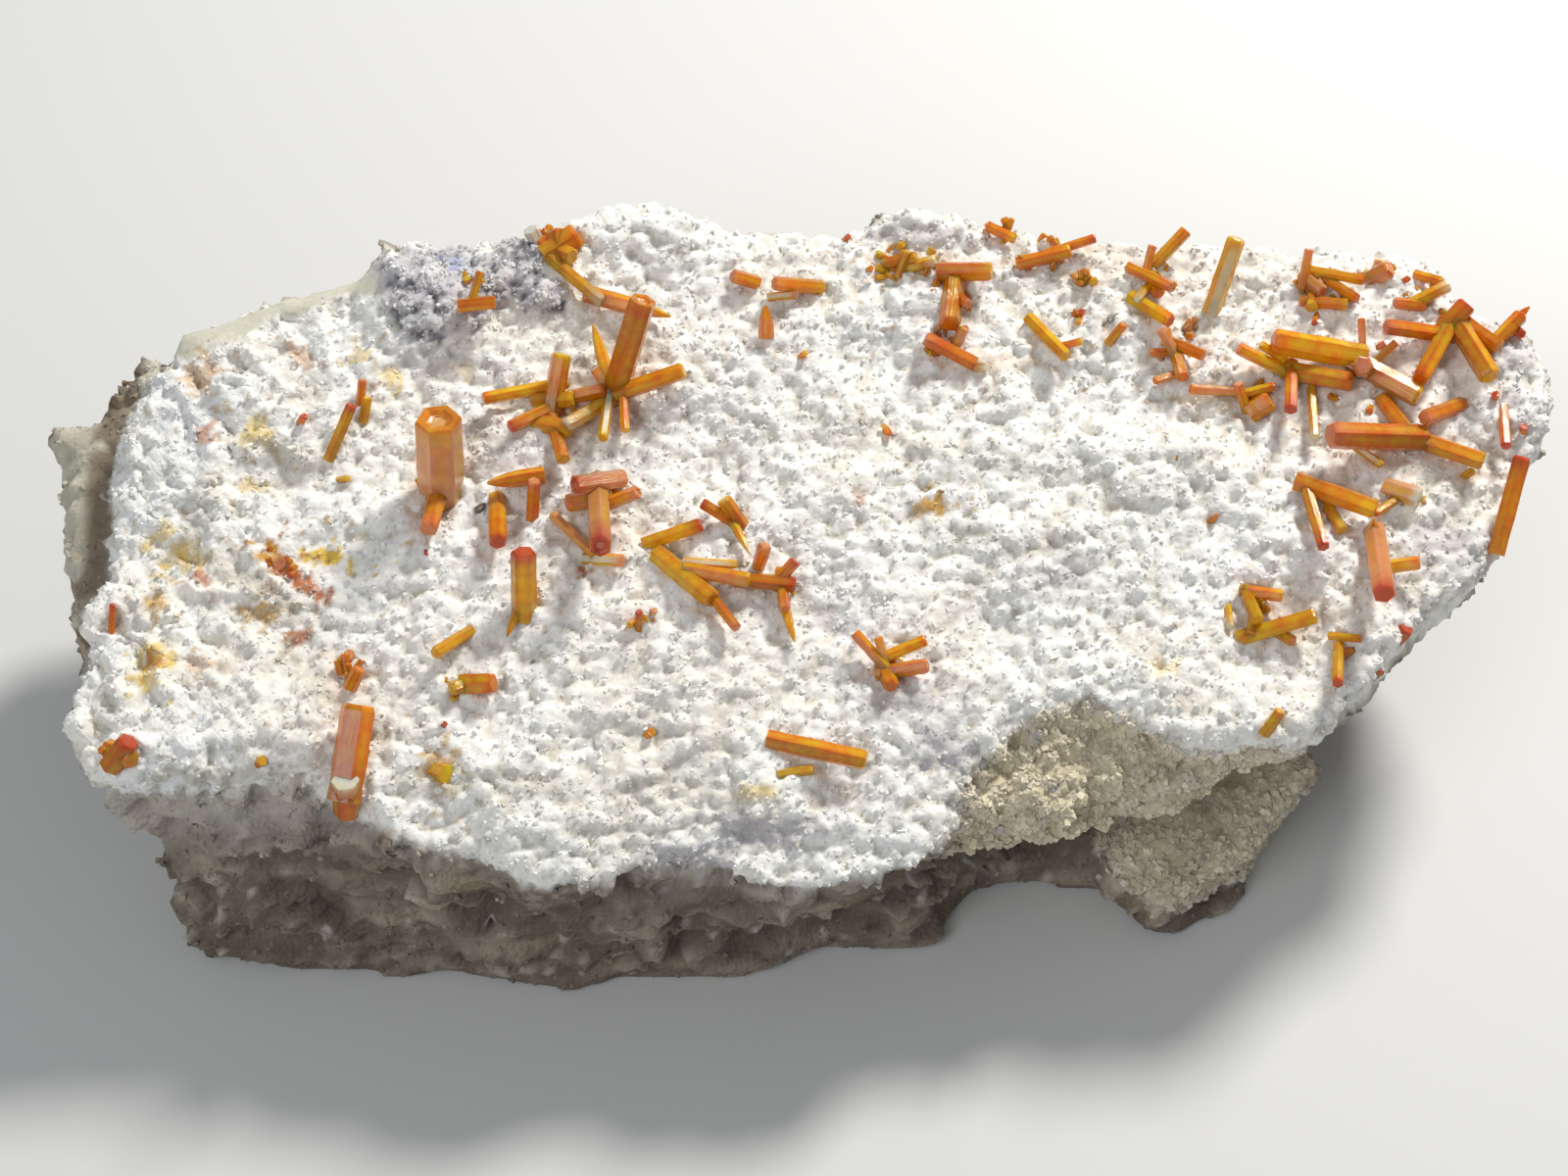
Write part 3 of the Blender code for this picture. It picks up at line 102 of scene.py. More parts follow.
# Crystals of each piece: readings across and down of root and of tip; width, and lift of root and tip
# over the rock, in millimetres; end, and tones of body and tip: A amber, O orange, Y yellow, R red,
# P pink, W white (mostly a painted highlight of glinting facets, partly pale frosted ends), C clear
CRYSTALS = {
    "tower": [
        (451, 508, 447, 427, 2.10, -0.2, 3.8, "HPA"), (448, 500, 437, 541, 0.92, 0.6, 0.9, "BAP"),
    ],
    "slim_red": [(336, 467, 359, 413, 0.60, 0.2, 1.2, "BYR")],
    "slim_mates": [
        (371, 428, 375, 405, 0.50, 0.4, 0.6, "BYY"), (368, 411, 370, 387, 0.44, 0.4, 0.8, "BOP"),
    ],
    "curved_blade": [
        (552, 485, 497, 493, 0.78, 0.8, 0.8, "TOY"), (543, 529, 545, 490, 0.64, 0.1, 1.2, "BOP"),
    ],
    "left_stub": [(507, 510, 508, 554, 0.92, 0.3, 1.2, "BAR")],
    "bullet": [
        (535, 634, 534, 562, 1.14, 0.0, 2.6, "BYR"), (530, 618, 517, 650, 0.40, 0.6, 0.6, "TYO"),
    ],
    "low_stub": [(479, 645, 443, 667, 0.62, 0.4, 0.9, "BYY")],
    "left_star": [
        (634, 488, 586, 495, 0.86, 0.7, 1.4, "HPR"), (610, 518, 651, 502, 0.62, 0.7, 1.7, "HAP"),
        (609, 492, 613, 558, 1.14, 0.3, 2.6, "HPR"), (620, 506, 578, 514, 0.82, 0.5, 0.8, "BPO"),
    ],
    "left_star_foot": [
        (566, 527, 606, 566, 0.50, 0.4, 0.5, "FPA"), (598, 570, 636, 572, 0.56, 0.4, 0.5, "FWP"),
    ],
    "upper_star": [
        (562, 425, 573, 361, 1.00, 0.3, 1.9, "BOY"), (570, 392, 493, 407, 0.60, 0.7, 0.9, "BYO"),
        (576, 409, 520, 436, 0.58, 0.7, 0.9, "BAR"), (547, 409, 585, 407, 0.80, 0.7, 0.9, "BAY"),
        (566, 409, 617, 398, 0.74, 0.6, 0.9, "BAO"), (622, 408, 577, 434, 0.70, 0.7, 0.9, "BYW"),
        (563, 425, 575, 470, 0.68, 0.6, 0.9, "BOY"), (548, 432, 583, 438, 0.90, 0.5, 0.6, "BAY"),
        (624, 412, 656, 306, 1.26, 0.0, 4.0, "HAA"), (624, 398, 605, 331, 0.62, 0.6, 1.2, "TYY"),
        (627, 404, 607, 377, 0.46, 0.6, 0.9, "FPO"), (620, 405, 698, 378, 0.80, 0.6, 1.0, "BAY"),
        (622, 398, 615, 448, 0.54, 0.7, 1.4, "BWY"), (636, 400, 638, 440, 0.46, 0.8, 0.9, "BOY"),
    ],
    "rim_lump": [
        (558, 262, 590, 240, 1.30, 0.3, 0.6, "BAA"), (572, 268, 570, 236, 1.10, 0.3, 0.9, "BAO"),
        (556, 250, 584, 262, 0.90, 0.5, 0.8, "BOY"), (560, 262, 614, 308, 0.66, 0.6, 0.8, "BYW"),
        (600, 300, 684, 323, 0.80, 0.7, 1.0, "TAY"),
    ],
    "pale_cube": [(549, 249, 541, 234, 0.80, 0.2, 0.7, "FCC")],
    "patch_sprig": [
        (480, 312, 490, 277, 0.46, 0.8, 1.8, "BYA"), (470, 312, 506, 308, 0.66, 1.0, 1.2, "BOA"),
    ],
    "chain_red_end": [(659, 555, 716, 535, 0.72, 0.4, 0.8, "BYR")],
    "chain": [
        (672, 566, 727, 612, 0.92, 0.4, 0.7, "BYA"), (722, 603, 752, 641, 0.50, 0.6, 1.0, "BAP"),
        (700, 581, 765, 592, 0.68, 0.7, 0.9, "BAY"), (700, 573, 752, 576, 0.38, 0.7, 0.7, "FWY"),
        (752, 591, 812, 596, 0.74, 0.6, 0.7, "BOR"), (796, 584, 801, 622, 0.52, 0.6, 0.9, "BAP"),
        (789, 598, 812, 572, 0.56, 0.7, 1.0, "BOR"), (798, 610, 811, 655, 0.44, 0.6, 0.7, "TYY"),
    ],
    "trio": [
        (750, 534, 716, 513, 0.56, 0.6, 1.1, "BAR"), (756, 535, 738, 509, 0.68, 0.5, 1.2, "BOY"),
        (745, 528, 766, 566, 0.46, 0.6, 0.7, "TYW"),
    ],
    "chain_pink": [(774, 577, 781, 556, 0.62, 0.4, 1.1, "BOP")],
    "low_v": [
        (912, 690, 872, 646, 0.54, 0.6, 0.9, "BAO"), (905, 682, 896, 650, 0.42, 0.6, 1.0, "BPO"),
        (900, 672, 945, 653, 0.56, 0.7, 0.9, "BYO"), (896, 687, 947, 679, 0.68, 0.6, 1.0, "BOP"),
        (900, 678, 910, 701, 0.70, 0.5, 0.6, "BAO"),
    ],
    "lying": [(786, 755, 884, 776, 0.90, 0.5, 0.7, "BAY")],
    "lying_mate": [(796, 790, 830, 785, 0.46, 0.4, 0.5, "BYY")],
    "carrot": [
        (355, 826, 352, 796, 1.26, 0.3, 0.9, "FOW"), (351, 815, 366, 719, 1.50, 0.6, 1.3, "BOA"),
    ],
    "carrot_chunk": [(358, 700, 367, 682, 0.66, 0.4, 0.6, "BAO")],
    "amber_stub": [
        (474, 698, 504, 697, 1.00, 0.4, 0.7, "BAO"), (480, 697, 460, 703, 0.66, 0.4, 0.5, "BYY"),
    ],
    "corner_chunk": [
        (114, 780, 132, 756, 1.10, 0.4, 0.7, "BAR"), (112, 765, 136, 775, 0.90, 0.4, 0.6, "BOA"),
    ],
    "top_pink": [(771, 288, 747, 281, 0.64, 0.4, 0.9, "BOP")],
    "top_prism": [
        (837, 293, 789, 289, 0.66, 0.4, 0.9, "BAP"), (786, 303, 812, 300, 0.40, 0.5, 0.5, "FWP"),
    ],
    "top_spike": [(782, 343, 781, 312, 0.70, 0.5, 0.9, "TOA")],
    "top_druse": [
        (905, 268, 935, 262, 0.60, 0.4, 0.5, "BAY"), (922, 274, 955, 266, 0.56, 0.4, 0.5, "BYW"),
        (917, 280, 926, 256, 0.50, 0.4, 0.7, "BOY"),
    ],
    "top_chunk": [
        (960, 277, 1012, 277, 0.96, 0.6, 1.1, "BOY"), (975, 278, 969, 332, 1.05, 0.5, 0.8, "BAO"),
        (976, 300, 988, 311, 0.50, 0.7, 1.0, "BOP"),
    ],
    "top_amber": [
        (992, 370, 944, 345, 0.76, 0.4, 0.7, "BOP"), (975, 352, 984, 334, 0.50, 0.5, 0.7, "BPA"),
    ],
    "top_small": [(1010, 232, 1036, 244, 0.56, 0.4, 0.6, "BOY")],
    "top_long": [
        (1040, 269, 1093, 256, 0.64, 0.4, 0.7, "BOY"), (1070, 258, 1118, 243, 0.44, 0.6, 0.8, "BOR"),
    ],
    "top_slant": [
        (1051, 326, 1088, 364, 0.62, 0.4, 0.8, "BYY"), (1080, 354, 1104, 348, 0.38, 0.5, 0.6, "FOY"),
    ],
    "ladder_top": [
        (1178, 270, 1211, 235, 0.60, 0.6, 1.3, "BYO"), (1168, 282, 1176, 250, 0.42, 0.6, 1.2, "BOP"),
        (1153, 273, 1195, 293, 0.54, 0.8, 1.2, "BOP"), (1180, 282, 1160, 306, 0.44, 0.6, 0.8, "BYW"),
        (1178, 283, 1182, 300, 0.66, 0.5, 0.6, "BAO"), (1155, 304, 1195, 328, 0.72, 0.5, 0.9, "BYO"),
    ],
    "ladder_stub": [(1132, 349, 1147, 331, 0.48, 0.4, 0.7, "BAO")],
    "long_window": [(1236, 318, 1262, 243, 0.86, 0.2, 2.4, "BWY")],
    "small_cross": [
        (1201, 366, 1185, 336, 0.54, 0.6, 1.1, "BPP"), (1195, 349, 1229, 363, 0.56, 0.7, 0.9, "BOA"),
        (1203, 360, 1173, 360, 0.44, 0.6, 0.7, "BOP"), (1200, 358, 1207, 386, 0.62, 0.6, 0.9, "BAO"),
        (1204, 380, 1178, 389, 0.40, 0.5, 0.6, "BPO"),
    ],
    "ochre_chunk": [
        (1265, 400, 1214, 397, 0.46, 0.5, 0.6, "BPO"), (1272, 418, 1263, 391, 0.50, 0.5, 1.0, "BOP"),
        (1277, 420, 1297, 408, 1.00, 0.5, 0.6, "BAA"), (1264, 403, 1301, 394, 0.46, 0.7, 0.7, "BYO"),
    ],
    "big_right": [
        (1390, 364, 1299, 348, 1.16, 0.8, 1.5, "BYO"), (1326, 386, 1263, 355, 0.62, 0.6, 0.9, "BYO"),
        (1320, 374, 1286, 351, 0.46, 0.7, 0.9, "BYY"), (1318, 372, 1317, 419, 0.64, 0.7, 1.3, "BOR"),
        (1338, 396, 1342, 447, 0.44, 0.6, 0.7, "BYW"), (1312, 378, 1380, 390, 0.96, 0.6, 0.7, "BAA"),
        (1391, 378, 1391, 373, 0.98, 0.3, 2.1, "BAP"), (1380, 368, 1449, 405, 1.05, 0.7, 0.9, "BAY"),
        (1395, 376, 1425, 349, 0.38, 0.6, 0.9, "BYO"), (1391, 368, 1389, 325, 0.38, 0.6, 0.8, "BPO"),
    ],
    "right_star": [
        (1480, 342, 1414, 333, 0.82, 0.8, 1.3, "BOP"), (1483, 325, 1449, 387, 0.94, 0.8, 1.2, "BAO"),
        (1484, 326, 1521, 385, 1.02, 0.8, 1.2, "BAY"), (1490, 325, 1530, 354, 0.74, 0.7, 0.9, "BOA"),
        (1474, 336, 1498, 310, 1.00, 0.7, 1.2, "BAR"), (1519, 356, 1553, 321, 0.70, 0.6, 0.8, "BAO"),
        (1544, 328, 1561, 313, 0.42, 0.7, 0.8, "TOO"),
    ],
    "over_star": [
        (1450, 312, 1423, 309, 0.54, 0.5, 0.8, "BOP"), (1437, 312, 1479, 291, 0.62, 0.5, 0.9, "BYW"),
        (1446, 281, 1472, 288, 0.50, 0.5, 0.7, "BOY"), (1462, 300, 1465, 282, 0.44, 0.4, 0.6, "FOP"),
    ],
    "top_right": [
        (1338, 276, 1392, 286, 0.54, 0.6, 0.9, "BYO"), (1352, 284, 1385, 305, 0.52, 0.6, 0.8, "BAO"),
        (1330, 307, 1375, 311, 0.56, 0.5, 0.7, "BOY"), (1329, 292, 1336, 254, 0.44, 0.6, 1.2, "BAP"),
        (1330, 283, 1350, 298, 0.70, 0.5, 0.6, "BPP"), (1340, 298, 1338, 314, 0.60, 0.5, 0.5, "FOY"),
    ],
    "top_corner": [(1400, 284, 1419, 273, 0.90, 0.4, 0.7, "BPO")],
    "edge_slim": [(1534, 417, 1537, 456, 0.52, 0.4, 1.0, "BOR")],
    "edge_tall": [(1527, 563, 1553, 466, 0.86, 0.5, 1.9, "BAR")],
    "mid_right": [
        (1450, 447, 1357, 444, 1.28, 0.7, 1.6, "BOP"), (1440, 446, 1514, 471, 0.90, 0.7, 1.1, "BAY"),
        (1411, 408, 1436, 441, 0.74, 0.6, 0.7, "BOA"), (1384, 456, 1410, 475, 0.40, 0.7, 0.8, "BWY"),
    ],
    "mid_right_pink": [(1491, 413, 1452, 427, 0.72, 0.5, 1.1, "BOP")],
    "v_pair": [
        (1325, 491, 1404, 520, 0.92, 0.6, 1.0, "BAY"), (1331, 493, 1351, 559, 0.62, 0.6, 0.9, "BAR"),
        (1352, 512, 1370, 542, 0.60, 0.4, 0.5, "BYY"),
    ],
    "right_druse": [
        (1415, 498, 1449, 508, 0.96, 0.4, 0.5, "BPW"), (1428, 508, 1402, 524, 0.42, 0.5, 0.5, "BYO"),
    ],
    "tall_right": [
        (1403, 543, 1413, 607, 1.08, 0.5, 2.6, "BPR"), (1404, 556, 1402, 529, 0.44, 0.7, 0.8, "TOA"),
        (1404, 580, 1449, 574, 0.60, 0.6, 0.8, "BYO"),
    ],
    "low_right": [
        (1268, 603, 1309, 608, 0.56, 0.6, 0.8, "BOY"), (1270, 602, 1284, 634, 0.60, 0.6, 0.9, "BYY"),
        (1265, 651, 1343, 628, 0.78, 0.5, 0.9, "BYY"), (1280, 620, 1276, 648, 0.50, 0.5, 0.6, "FYO"),
        (1300, 642, 1320, 655, 0.50, 0.4, 0.5, "BYO"),
    ],
    "low_right_window": [(1366, 660, 1365, 698, 0.60, 0.4, 1.2, "BWR")],
    "low_right_slim": [(1359, 649, 1389, 652, 0.40, 0.4, 0.6, "BYO")],
    "overhang_stub": [(1291, 747, 1307, 725, 0.60, 0.3, 0.6, "BYY")],
}

# Crystals too small for the solids, in the same way
TINY = [
    (303, 437, 311, 424, 0.40, 0.0, 0.4, "BOR"), (341, 491, 355, 488, 0.34, 0.1, 0.3, "FYY"),
    (432, 568, 436, 563, 0.34, 0.0, 0.2, "FOR"), (652, 646, 652, 624, 0.38, 0.0, 0.9, "BAR"),
    (662, 634, 668, 622, 0.32, 0.0, 0.3, "FWP"), (655, 753, 665, 747, 0.44, 0.0, 0.3, "FOA"),
    (446, 743, 454, 739, 0.34, 0.0, 0.2, "FRR"), (815, 365, 822, 360, 0.32, 0.0, 0.3, "FOY"),
    (859, 248, 866, 241, 0.30, 0.0, 0.3, "FOR"), (900, 436, 910, 444, 0.48, 0.0, 0.4, "TOR"),
    (1235, 532, 1243, 525, 0.38, 0.0, 0.3, "TOA"), (1193, 470, 1204, 467, 0.42, -0.1, 0.1, "FPO"),
    (258, 782, 268, 776, 0.52, 0.0, 0.3, "FOY"), (113, 655, 115, 616, 0.34, 0.1, 0.5, "BOR"),
    (348, 675, 357, 668, 0.60, -0.1, 0.2, "FWP"), (876, 280, 890, 274, 0.36, 0.0, 0.2, "FPO"),
    (972, 338, 986, 336, 0.42, 0.1, 0.3, "FOR"), (985, 376, 1008, 374, 0.44, 0.0, 0.3, "FPW"),
    (1103, 290, 1113, 281, 0.62, 0.0, 0.4, "TOY"), (1097, 322, 1104, 318, 0.32, 0.0, 0.3, "FOR"),
    (1206, 341, 1216, 331, 0.50, 0.0, 0.4, "TPO"), (1345, 317, 1341, 330, 0.32, 0.2, 0.3, "FOR"),
    (1427, 290, 1437, 285, 0.42, 0.1, 0.3, "FOR"), (1545, 335, 1553, 341, 0.48, 0.2, 0.6, "BOR"),
    (1554, 448, 1555, 435, 0.38, 0.0, 0.4, "FOR"), (1525, 411, 1526, 402, 0.36, 0.0, 0.5, "FOR"),
    (1548, 411, 1553, 406, 0.30, 0.0, 0.2, "FPO"), (1492, 487, 1502, 481, 0.42, 0.0, 0.4, "FYY"),
    (1384, 662, 1368, 668, 0.40, 0.0, 0.3, "FOR"), (1252, 612, 1256, 640, 0.36, 0.1, 0.5, "BWW"),
    (1402, 406, 1397, 420, 0.36, 0.1, 0.3, "FYO"), (1371, 409, 1356, 404, 0.36, 0.2, 0.3, "FYO"),
    (440, 786, 456, 790, 0.90, -0.2, 0.1, "FYY"), (1426, 650, 1436, 640, 0.90, -0.4, 0.1, "BRR"),
    (1402, 688, 1410, 682, 0.60, -0.3, 0.1, "BRR"), (762, 593, 791, 593, 0.70, 0.4, 0.5, "FWY"),
]

# Crusts of crystals too small to tell apart: reading, radius in pixels, how many, and tones
DRUSES = [
    ((571, 250), 20, 18, "AO"), ((1281, 407), 18, 12, "AA"), ((925, 268), 28, 16, "YA"),
    ((975, 300), 24, 12, "AO"), ((968, 352), 24, 12, "OP"), ((1433, 505), 22, 14, "PW"),
    ((123, 768), 14, 10, "AR"), ((486, 302), 18, 12, "YA"), ((1345, 295), 26, 12, "AP"),
    ((1197, 360), 18, 9, "PA"), ((906, 684), 12, 7, "AO"), ((580, 410), 22, 9, "AY"),
    ((628, 402), 14, 7, "OR"), ((357, 690), 12, 8, "AO"), ((800, 595), 14, 7, "OY"),
    ((607, 506), 15, 7, "PO"), ((1066, 264), 24, 10, "OY"), ((1022, 238), 13, 7, "OY"),
    ((1390, 368), 16, 7, "OR"), ((1478, 332), 14, 7, "AR"), ((1408, 280), 13, 9, "PO"),
    ((1180, 290), 20, 8, "AO"), ((655, 630), 11, 7, "YP"), ((1450, 300), 20, 8, "OP"),
    ((1109, 285), 10, 7, "OY"), ((1212, 336), 8, 5, "PO"), ((286, 577), 20, 8, "RA"),
    ((470, 701), 12, 5, "AY"), ((1284, 622), 14, 7, "YY"), ((442, 500), 12, 5, "AP"),
    ((1100, 322), 6, 3, "OR"), ((1367, 312), 9, 5, "AO"),
]

# Colours, in linear light
WHITE = (0.86, 0.845, 0.80)
# Painted shade: the crust's colour where it lies low, in its crevices
CREVICE_SHADE = (0.62, 0.58, 0.49)
SHADE_GREY = (0.60, 0.57, 0.55)
# Cool white: partly the crust's own tone in clouds, partly painted shade of the face's left part
COOL_WHITE_LEFT_SHADE = (0.73, 0.75, 0.765)
WARM_WHITE = (0.82, 0.77, 0.66)
RIM = (0.60, 0.585, 0.48)
PATCH = (0.50, 0.48, 0.50)
# Dark specks of the grey patch: partly its own, partly painted shade in its hollows
SPECK_AND_SHADE = (0.09, 0.08, 0.095)
CAVITY = (0.66, 0.58, 0.41)
KNOB = (0.60, 0.53, 0.38)
LAYER = (0.52, 0.49, 0.39)
# Painted shadow in the gap between the back layer and the face's left edge
GAP_SHADOW = (0.17, 0.12, 0.075)
FLANK = (0.15, 0.12, 0.09)
FLANK_LIGHT = (0.34, 0.29, 0.225)
FLANK_PALE = (0.54, 0.50, 0.44)
FLANK_WARM = (0.40, 0.31, 0.20)

# Tones of the stains; grey and olive are painted shade, and pink is partly painted glow
STAIN_SHADE_GLOW_TONES = {
    "yellow": (0.72, 0.50, 0.09),
    "ochre": (0.52, 0.28, 0.035),
    "rust": (0.40, 0.12, 0.03),
    "pink": (0.60, 0.40, 0.26),
    "blue": (0.16, 0.22, 0.42),
    "brown": (0.33, 0.25, 0.19),
    "black": (0.03, 0.025, 0.02),
    "grey_shade": (0.46, 0.435, 0.45),
    "olive_shade": (0.52, 0.49, 0.40),
}

# Stains, painted shade and painted glow, all only colour: reading, half sizes in pixels, turn in
# degrees, tone and strength. The grey and olive ones and the small brown ones on the left part are
# painted shade in crevices, pits and low places; the large faint pink ones round the crystals are
# painted glow.
STAINS_SHADE_AND_GLOW = [
    (192, 569, 24, 15, 20, "yellow", 0.8), (335, 566, 24, 9, 0, "yellow", 1.0),
    (163, 672, 18, 14, 10, "yellow", 0.8), (157, 680, 9, 7, 0, "rust", 0.8),
    (154, 693, 13, 9, 0, "yellow", 0.7), (261, 441, 17, 13, 30, "yellow", 0.7),
    (170, 542, 13, 9, 0, "yellow", 0.6), (257, 496, 11, 8, 0, "yellow", 0.6),
    (403, 384, 12, 9, 0, "yellow", 0.7), (473, 378, 11, 7, 0, "yellow", 0.5),
    (368, 366, 13, 9, 0, "yellow", 0.6), (954, 517, 15, 10, 10, "ochre", 0.95),
    (773, 810, 18, 7, 0, "yellow", 0.6), (449, 787, 17, 21, 0, "ochre", 0.75),
    (1193, 682, 12, 8, 0, "yellow", 0.4), (286, 577, 26, 12, 40, "rust", 0.95),
    (312, 599, 20, 10, 40, "rust", 0.9), (268, 571, 13, 9, 0, "ochre", 0.9),
    (206, 592, 13, 8, 20, "rust", 0.8), (156, 617, 15, 9, 10, "ochre", 0.8),
    (305, 649, 12, 8, 0, "rust", 0.85), (269, 624, 15, 11, 20, "ochre", 0.8),
    (276, 601, 9, 7, 0, "rust", 0.8), (202, 678, 12, 8, 0, "pink", 0.6),
    (876, 514, 8, 6, 0, "rust", 0.6), (202, 384, 16, 14, 30, "ochre", 0.55),
    (214, 372, 10, 8, 0, "pink", 0.7), (305, 362, 15, 9, 30, "pink", 0.75),
    (207, 441, 9, 8, 60, "rust", 0.7), (463, 276, 9, 7, 0, "blue", 0.55),
    (545, 674, 4, 4, 0, "black", 1.0), (491, 520, 7, 5, 0, "black", 1.0),
    (594, 579, 5, 5, 0, "rust", 0.9), (1134, 329, 6, 5, 0, "black", 0.9),
    # The large faint pink ones round the crystals are painted glow, light cast by the crystals onto the
    # crust
    (1240, 853, 9, 8, 0, "brown", 0.9), (436, 508, 16, 26, 0, "pink", 0.45),
    (345, 700, 20, 30, 0, "pink", 0.35), (1316, 628, 60, 26, -10, "pink", 0.32),
    (1000, 370, 40, 14, 0, "pink", 0.4), (1130, 262, 60, 16, 0, "pink", 0.3),
    (925, 268, 40, 14, 0, "ochre", 0.45), (1240, 404, 40, 10, 0, "ochre", 0.3),
    (1440, 470, 110, 20, 10, "pink", 0.3), (780, 600, 60, 14, 10, "pink", 0.3),
    (905, 690, 30, 14, 0, "pink", 0.3), (1330, 372, 90, 26, 10, "pink", 0.35),
    (600, 420, 70, 26, -10, "pink", 0.3), (604, 545, 30, 22, 0, "pink", 0.35),
    # Painted shade from here on: grey and olive in crevices and low places, small brown ones in pits
    (785, 846, 60, 15, 4, "grey_shade", 0.8), (690, 872, 46, 12, 4, "grey_shade", 0.7),
    (962, 764, 34, 22, 30, "grey_shade", 0.75), (915, 715, 34, 14, 0, "grey_shade", 0.6),
    (852, 632, 26, 14, 20, "grey_shade", 0.55), (1080, 590, 50, 18, 20, "grey_shade", 0.45),
    (1490, 560, 60, 24, 20, "grey_shade", 0.5), (1545, 370, 26, 40, 0, "grey_shade", 0.45),
    (640, 470, 44, 12, 0, "grey_shade", 0.4), (455, 370, 60, 12, 0, "grey_shade", 0.5),
    (932, 240, 44, 14, 0, "grey_shade", 0.55), (1180, 262, 40, 12, 0, "grey_shade", 0.4),
    (262, 592, 11, 5, 40, "brown", 0.8), (186, 520, 9, 7, 0, "brown", 0.6),
    (236, 556, 13, 5, 50, "brown", 0.6), (182, 572, 9, 5, 30, "brown", 0.6),
    (300, 672, 10, 5, 40, "brown", 0.5), (250, 590, 60, 12, 30, "olive_shade", 0.6),
    (205, 520, 18, 40, 20, "olive_shade", 0.5), (300, 470, 30, 12, 40, "olive_shade", 0.5),
    (320, 700, 46, 10, 40, "olive_shade", 0.5), (225, 790, 60, 10, 0, "olive_shade", 0.7),
    (530, 800, 90, 12, 6, "olive_shade", 0.55), (690, 800, 60, 10, 10, "olive_shade", 0.45),
    (430, 800, 40, 14, 0, "olive_shade", 0.45), (1010, 470, 90, 12, 10, "olive_shade", 0.4),
    (980, 540, 70, 12, 10, "olive_shade", 0.4),
]

# Outlines, in readings, of the places that look different from the white crust
RIM_OUTLINE = [
    (176, 345), (184, 320), (264, 303), (343, 285), (384, 268), (392, 292), (330, 306), (262, 326),
    (250, 346), (205, 352), (190, 366),
]
PATCH_OUTLINE = [
    (382, 272), (404, 262), (440, 256), (470, 254), (500, 256), (522, 248), (548, 250), (560, 262),
    (556, 286), (582, 300), (578, 318), (548, 322), (520, 312), (500, 318), (486, 332), (462, 340),
    (444, 362), (420, 356), (402, 330), (396, 300),
]
FACE_OUTLINE = [
    (182, 316), (300, 298), (404, 258), (500, 236), (564, 214), (700, 196), (800, 200), (969, 186),
    (1128, 222), (1290, 222), (1480, 250), (1500, 290), (1545, 300), (1610, 360), (1620, 436),
    (1590, 480), (1562, 580), (1520, 620), (1462, 650), (1430, 690), (1398, 730), (1352, 766),
    (1290, 756), (1240, 768), (1206, 756), (1148, 727), (1114, 705), (1045, 731), (1007, 762),
    (970, 808), (976, 850), (945, 876), (899, 886), (823, 903), (765, 892), (715, 872), (670, 874),
    (624, 892), (555, 896), (499, 874), (461, 866), (423, 850), (369, 832), (300, 790), (254, 797),
    (182, 806), (113, 808), (78, 800), (66, 700), (78, 632), (112, 605), (118, 529), (115, 503),
    (120, 470), (136, 420), (154, 376),
]
LAYER_OUTLINE = [
    (30, 410), (110, 410), (130, 376), (150, 350), (176, 342), (160, 380), (138, 424), (120, 470),
    (116, 503), (118, 530), (110, 606), (80, 640), (60, 640), (50, 500),
]
KNOB_OUTLINE = [
    (1120, 850), (1160, 812), (1230, 786), (1300, 768), (1352, 752), (1345, 800), (1300, 870),
    (1230, 920), (1180, 930), (1130, 890),
]

# Soft steps, in readings: low and high of each, or of the step up and then of the step down. Those with
# negative numbers go down from left to right
RIGHT_END = 1400.0, 1450.0
FLAKY_LEFT = -370.0, -260.0
GAP_SHADOW_LEFT = -190.0, -150.0
GAP_SHADOW_DOWN = (350.0, 400.0), (600.0, 640.0)
CAVITY_TOP = 680.0, 700.0
CAVITY_ACROSS = (955.0, 985.0), (1300.0, 1345.0)
LIT_LEFT = -440.0, -330.0
LIT_DOWN = (740.0, 780.0), (810.0, 890.0)
PALE_LIP_RIGHT = 330.0, 420.0


def sight(pixel):
    """The direction from the eye through a reading."""
    across = (pixel[0] - MIDDLE_PX[0]) / FOCAL_PX
    up = (MIDDLE_PX[1] - pixel[1]) / FOCAL_PX
    return (FORWARD + across * Vector((1.0, 0.0, 0.0)) + up * UPWARD).normalized()


def on_face(pixel):
    """The point of a reading on the nominal face."""
    ray = sight(pixel)
    return EYE + ray * ((FACE_MIDDLE - EYE).dot(FACE_NORMAL) / ray.dot(FACE_NORMAL))


def readings_of(points):
    """The readings at which an array of points is seen."""
    away = points - np.array(EYE)
    depth = away @ np.array(FORWARD)
    across = MIDDLE_PX[0] + FOCAL_PX * away[:, 0] / depth
    down = MIDDLE_PX[1] - FOCAL_PX * (away @ np.array(UPWARD)) / depth
    return np.stack([across, down], axis=1)


def edge_distance(spots, outline):
    """Distance in pixels to an outline, positive inside it."""
    ring = np.array(outline, float)
    inside = np.zeros(len(spots), bool)
    nearest = np.full(len(spots), 1e9)
    for a, b in zip(ring, np.roll(ring, -1, axis=0)):
        along = b - a
        share = np.clip(((spots - a) @ along) / (along @ along), 0.0, 1.0)
        gap = spots - a - share[:, None] * along
        nearest = np.minimum(nearest, np.hypot(gap[:, 0], gap[:, 1]))
        crosses = (a[1] > spots[:, 1]) != (b[1] > spots[:, 1])
        reach = a[0] + (spots[:, 1] - a[1]) * along[0] / (along[1] if along[1] else 1e-9)
        inside ^= crosses & (spots[:, 0] < reach)
    return np.where(inside, nearest, -nearest)


def soft(values, low, high):
    """0 below low, 1 above high, smooth between."""
    share = np.clip((values - low) / (high - low), 0.0, 1.0)
    return share * share * (3.0 - 2.0 * share)


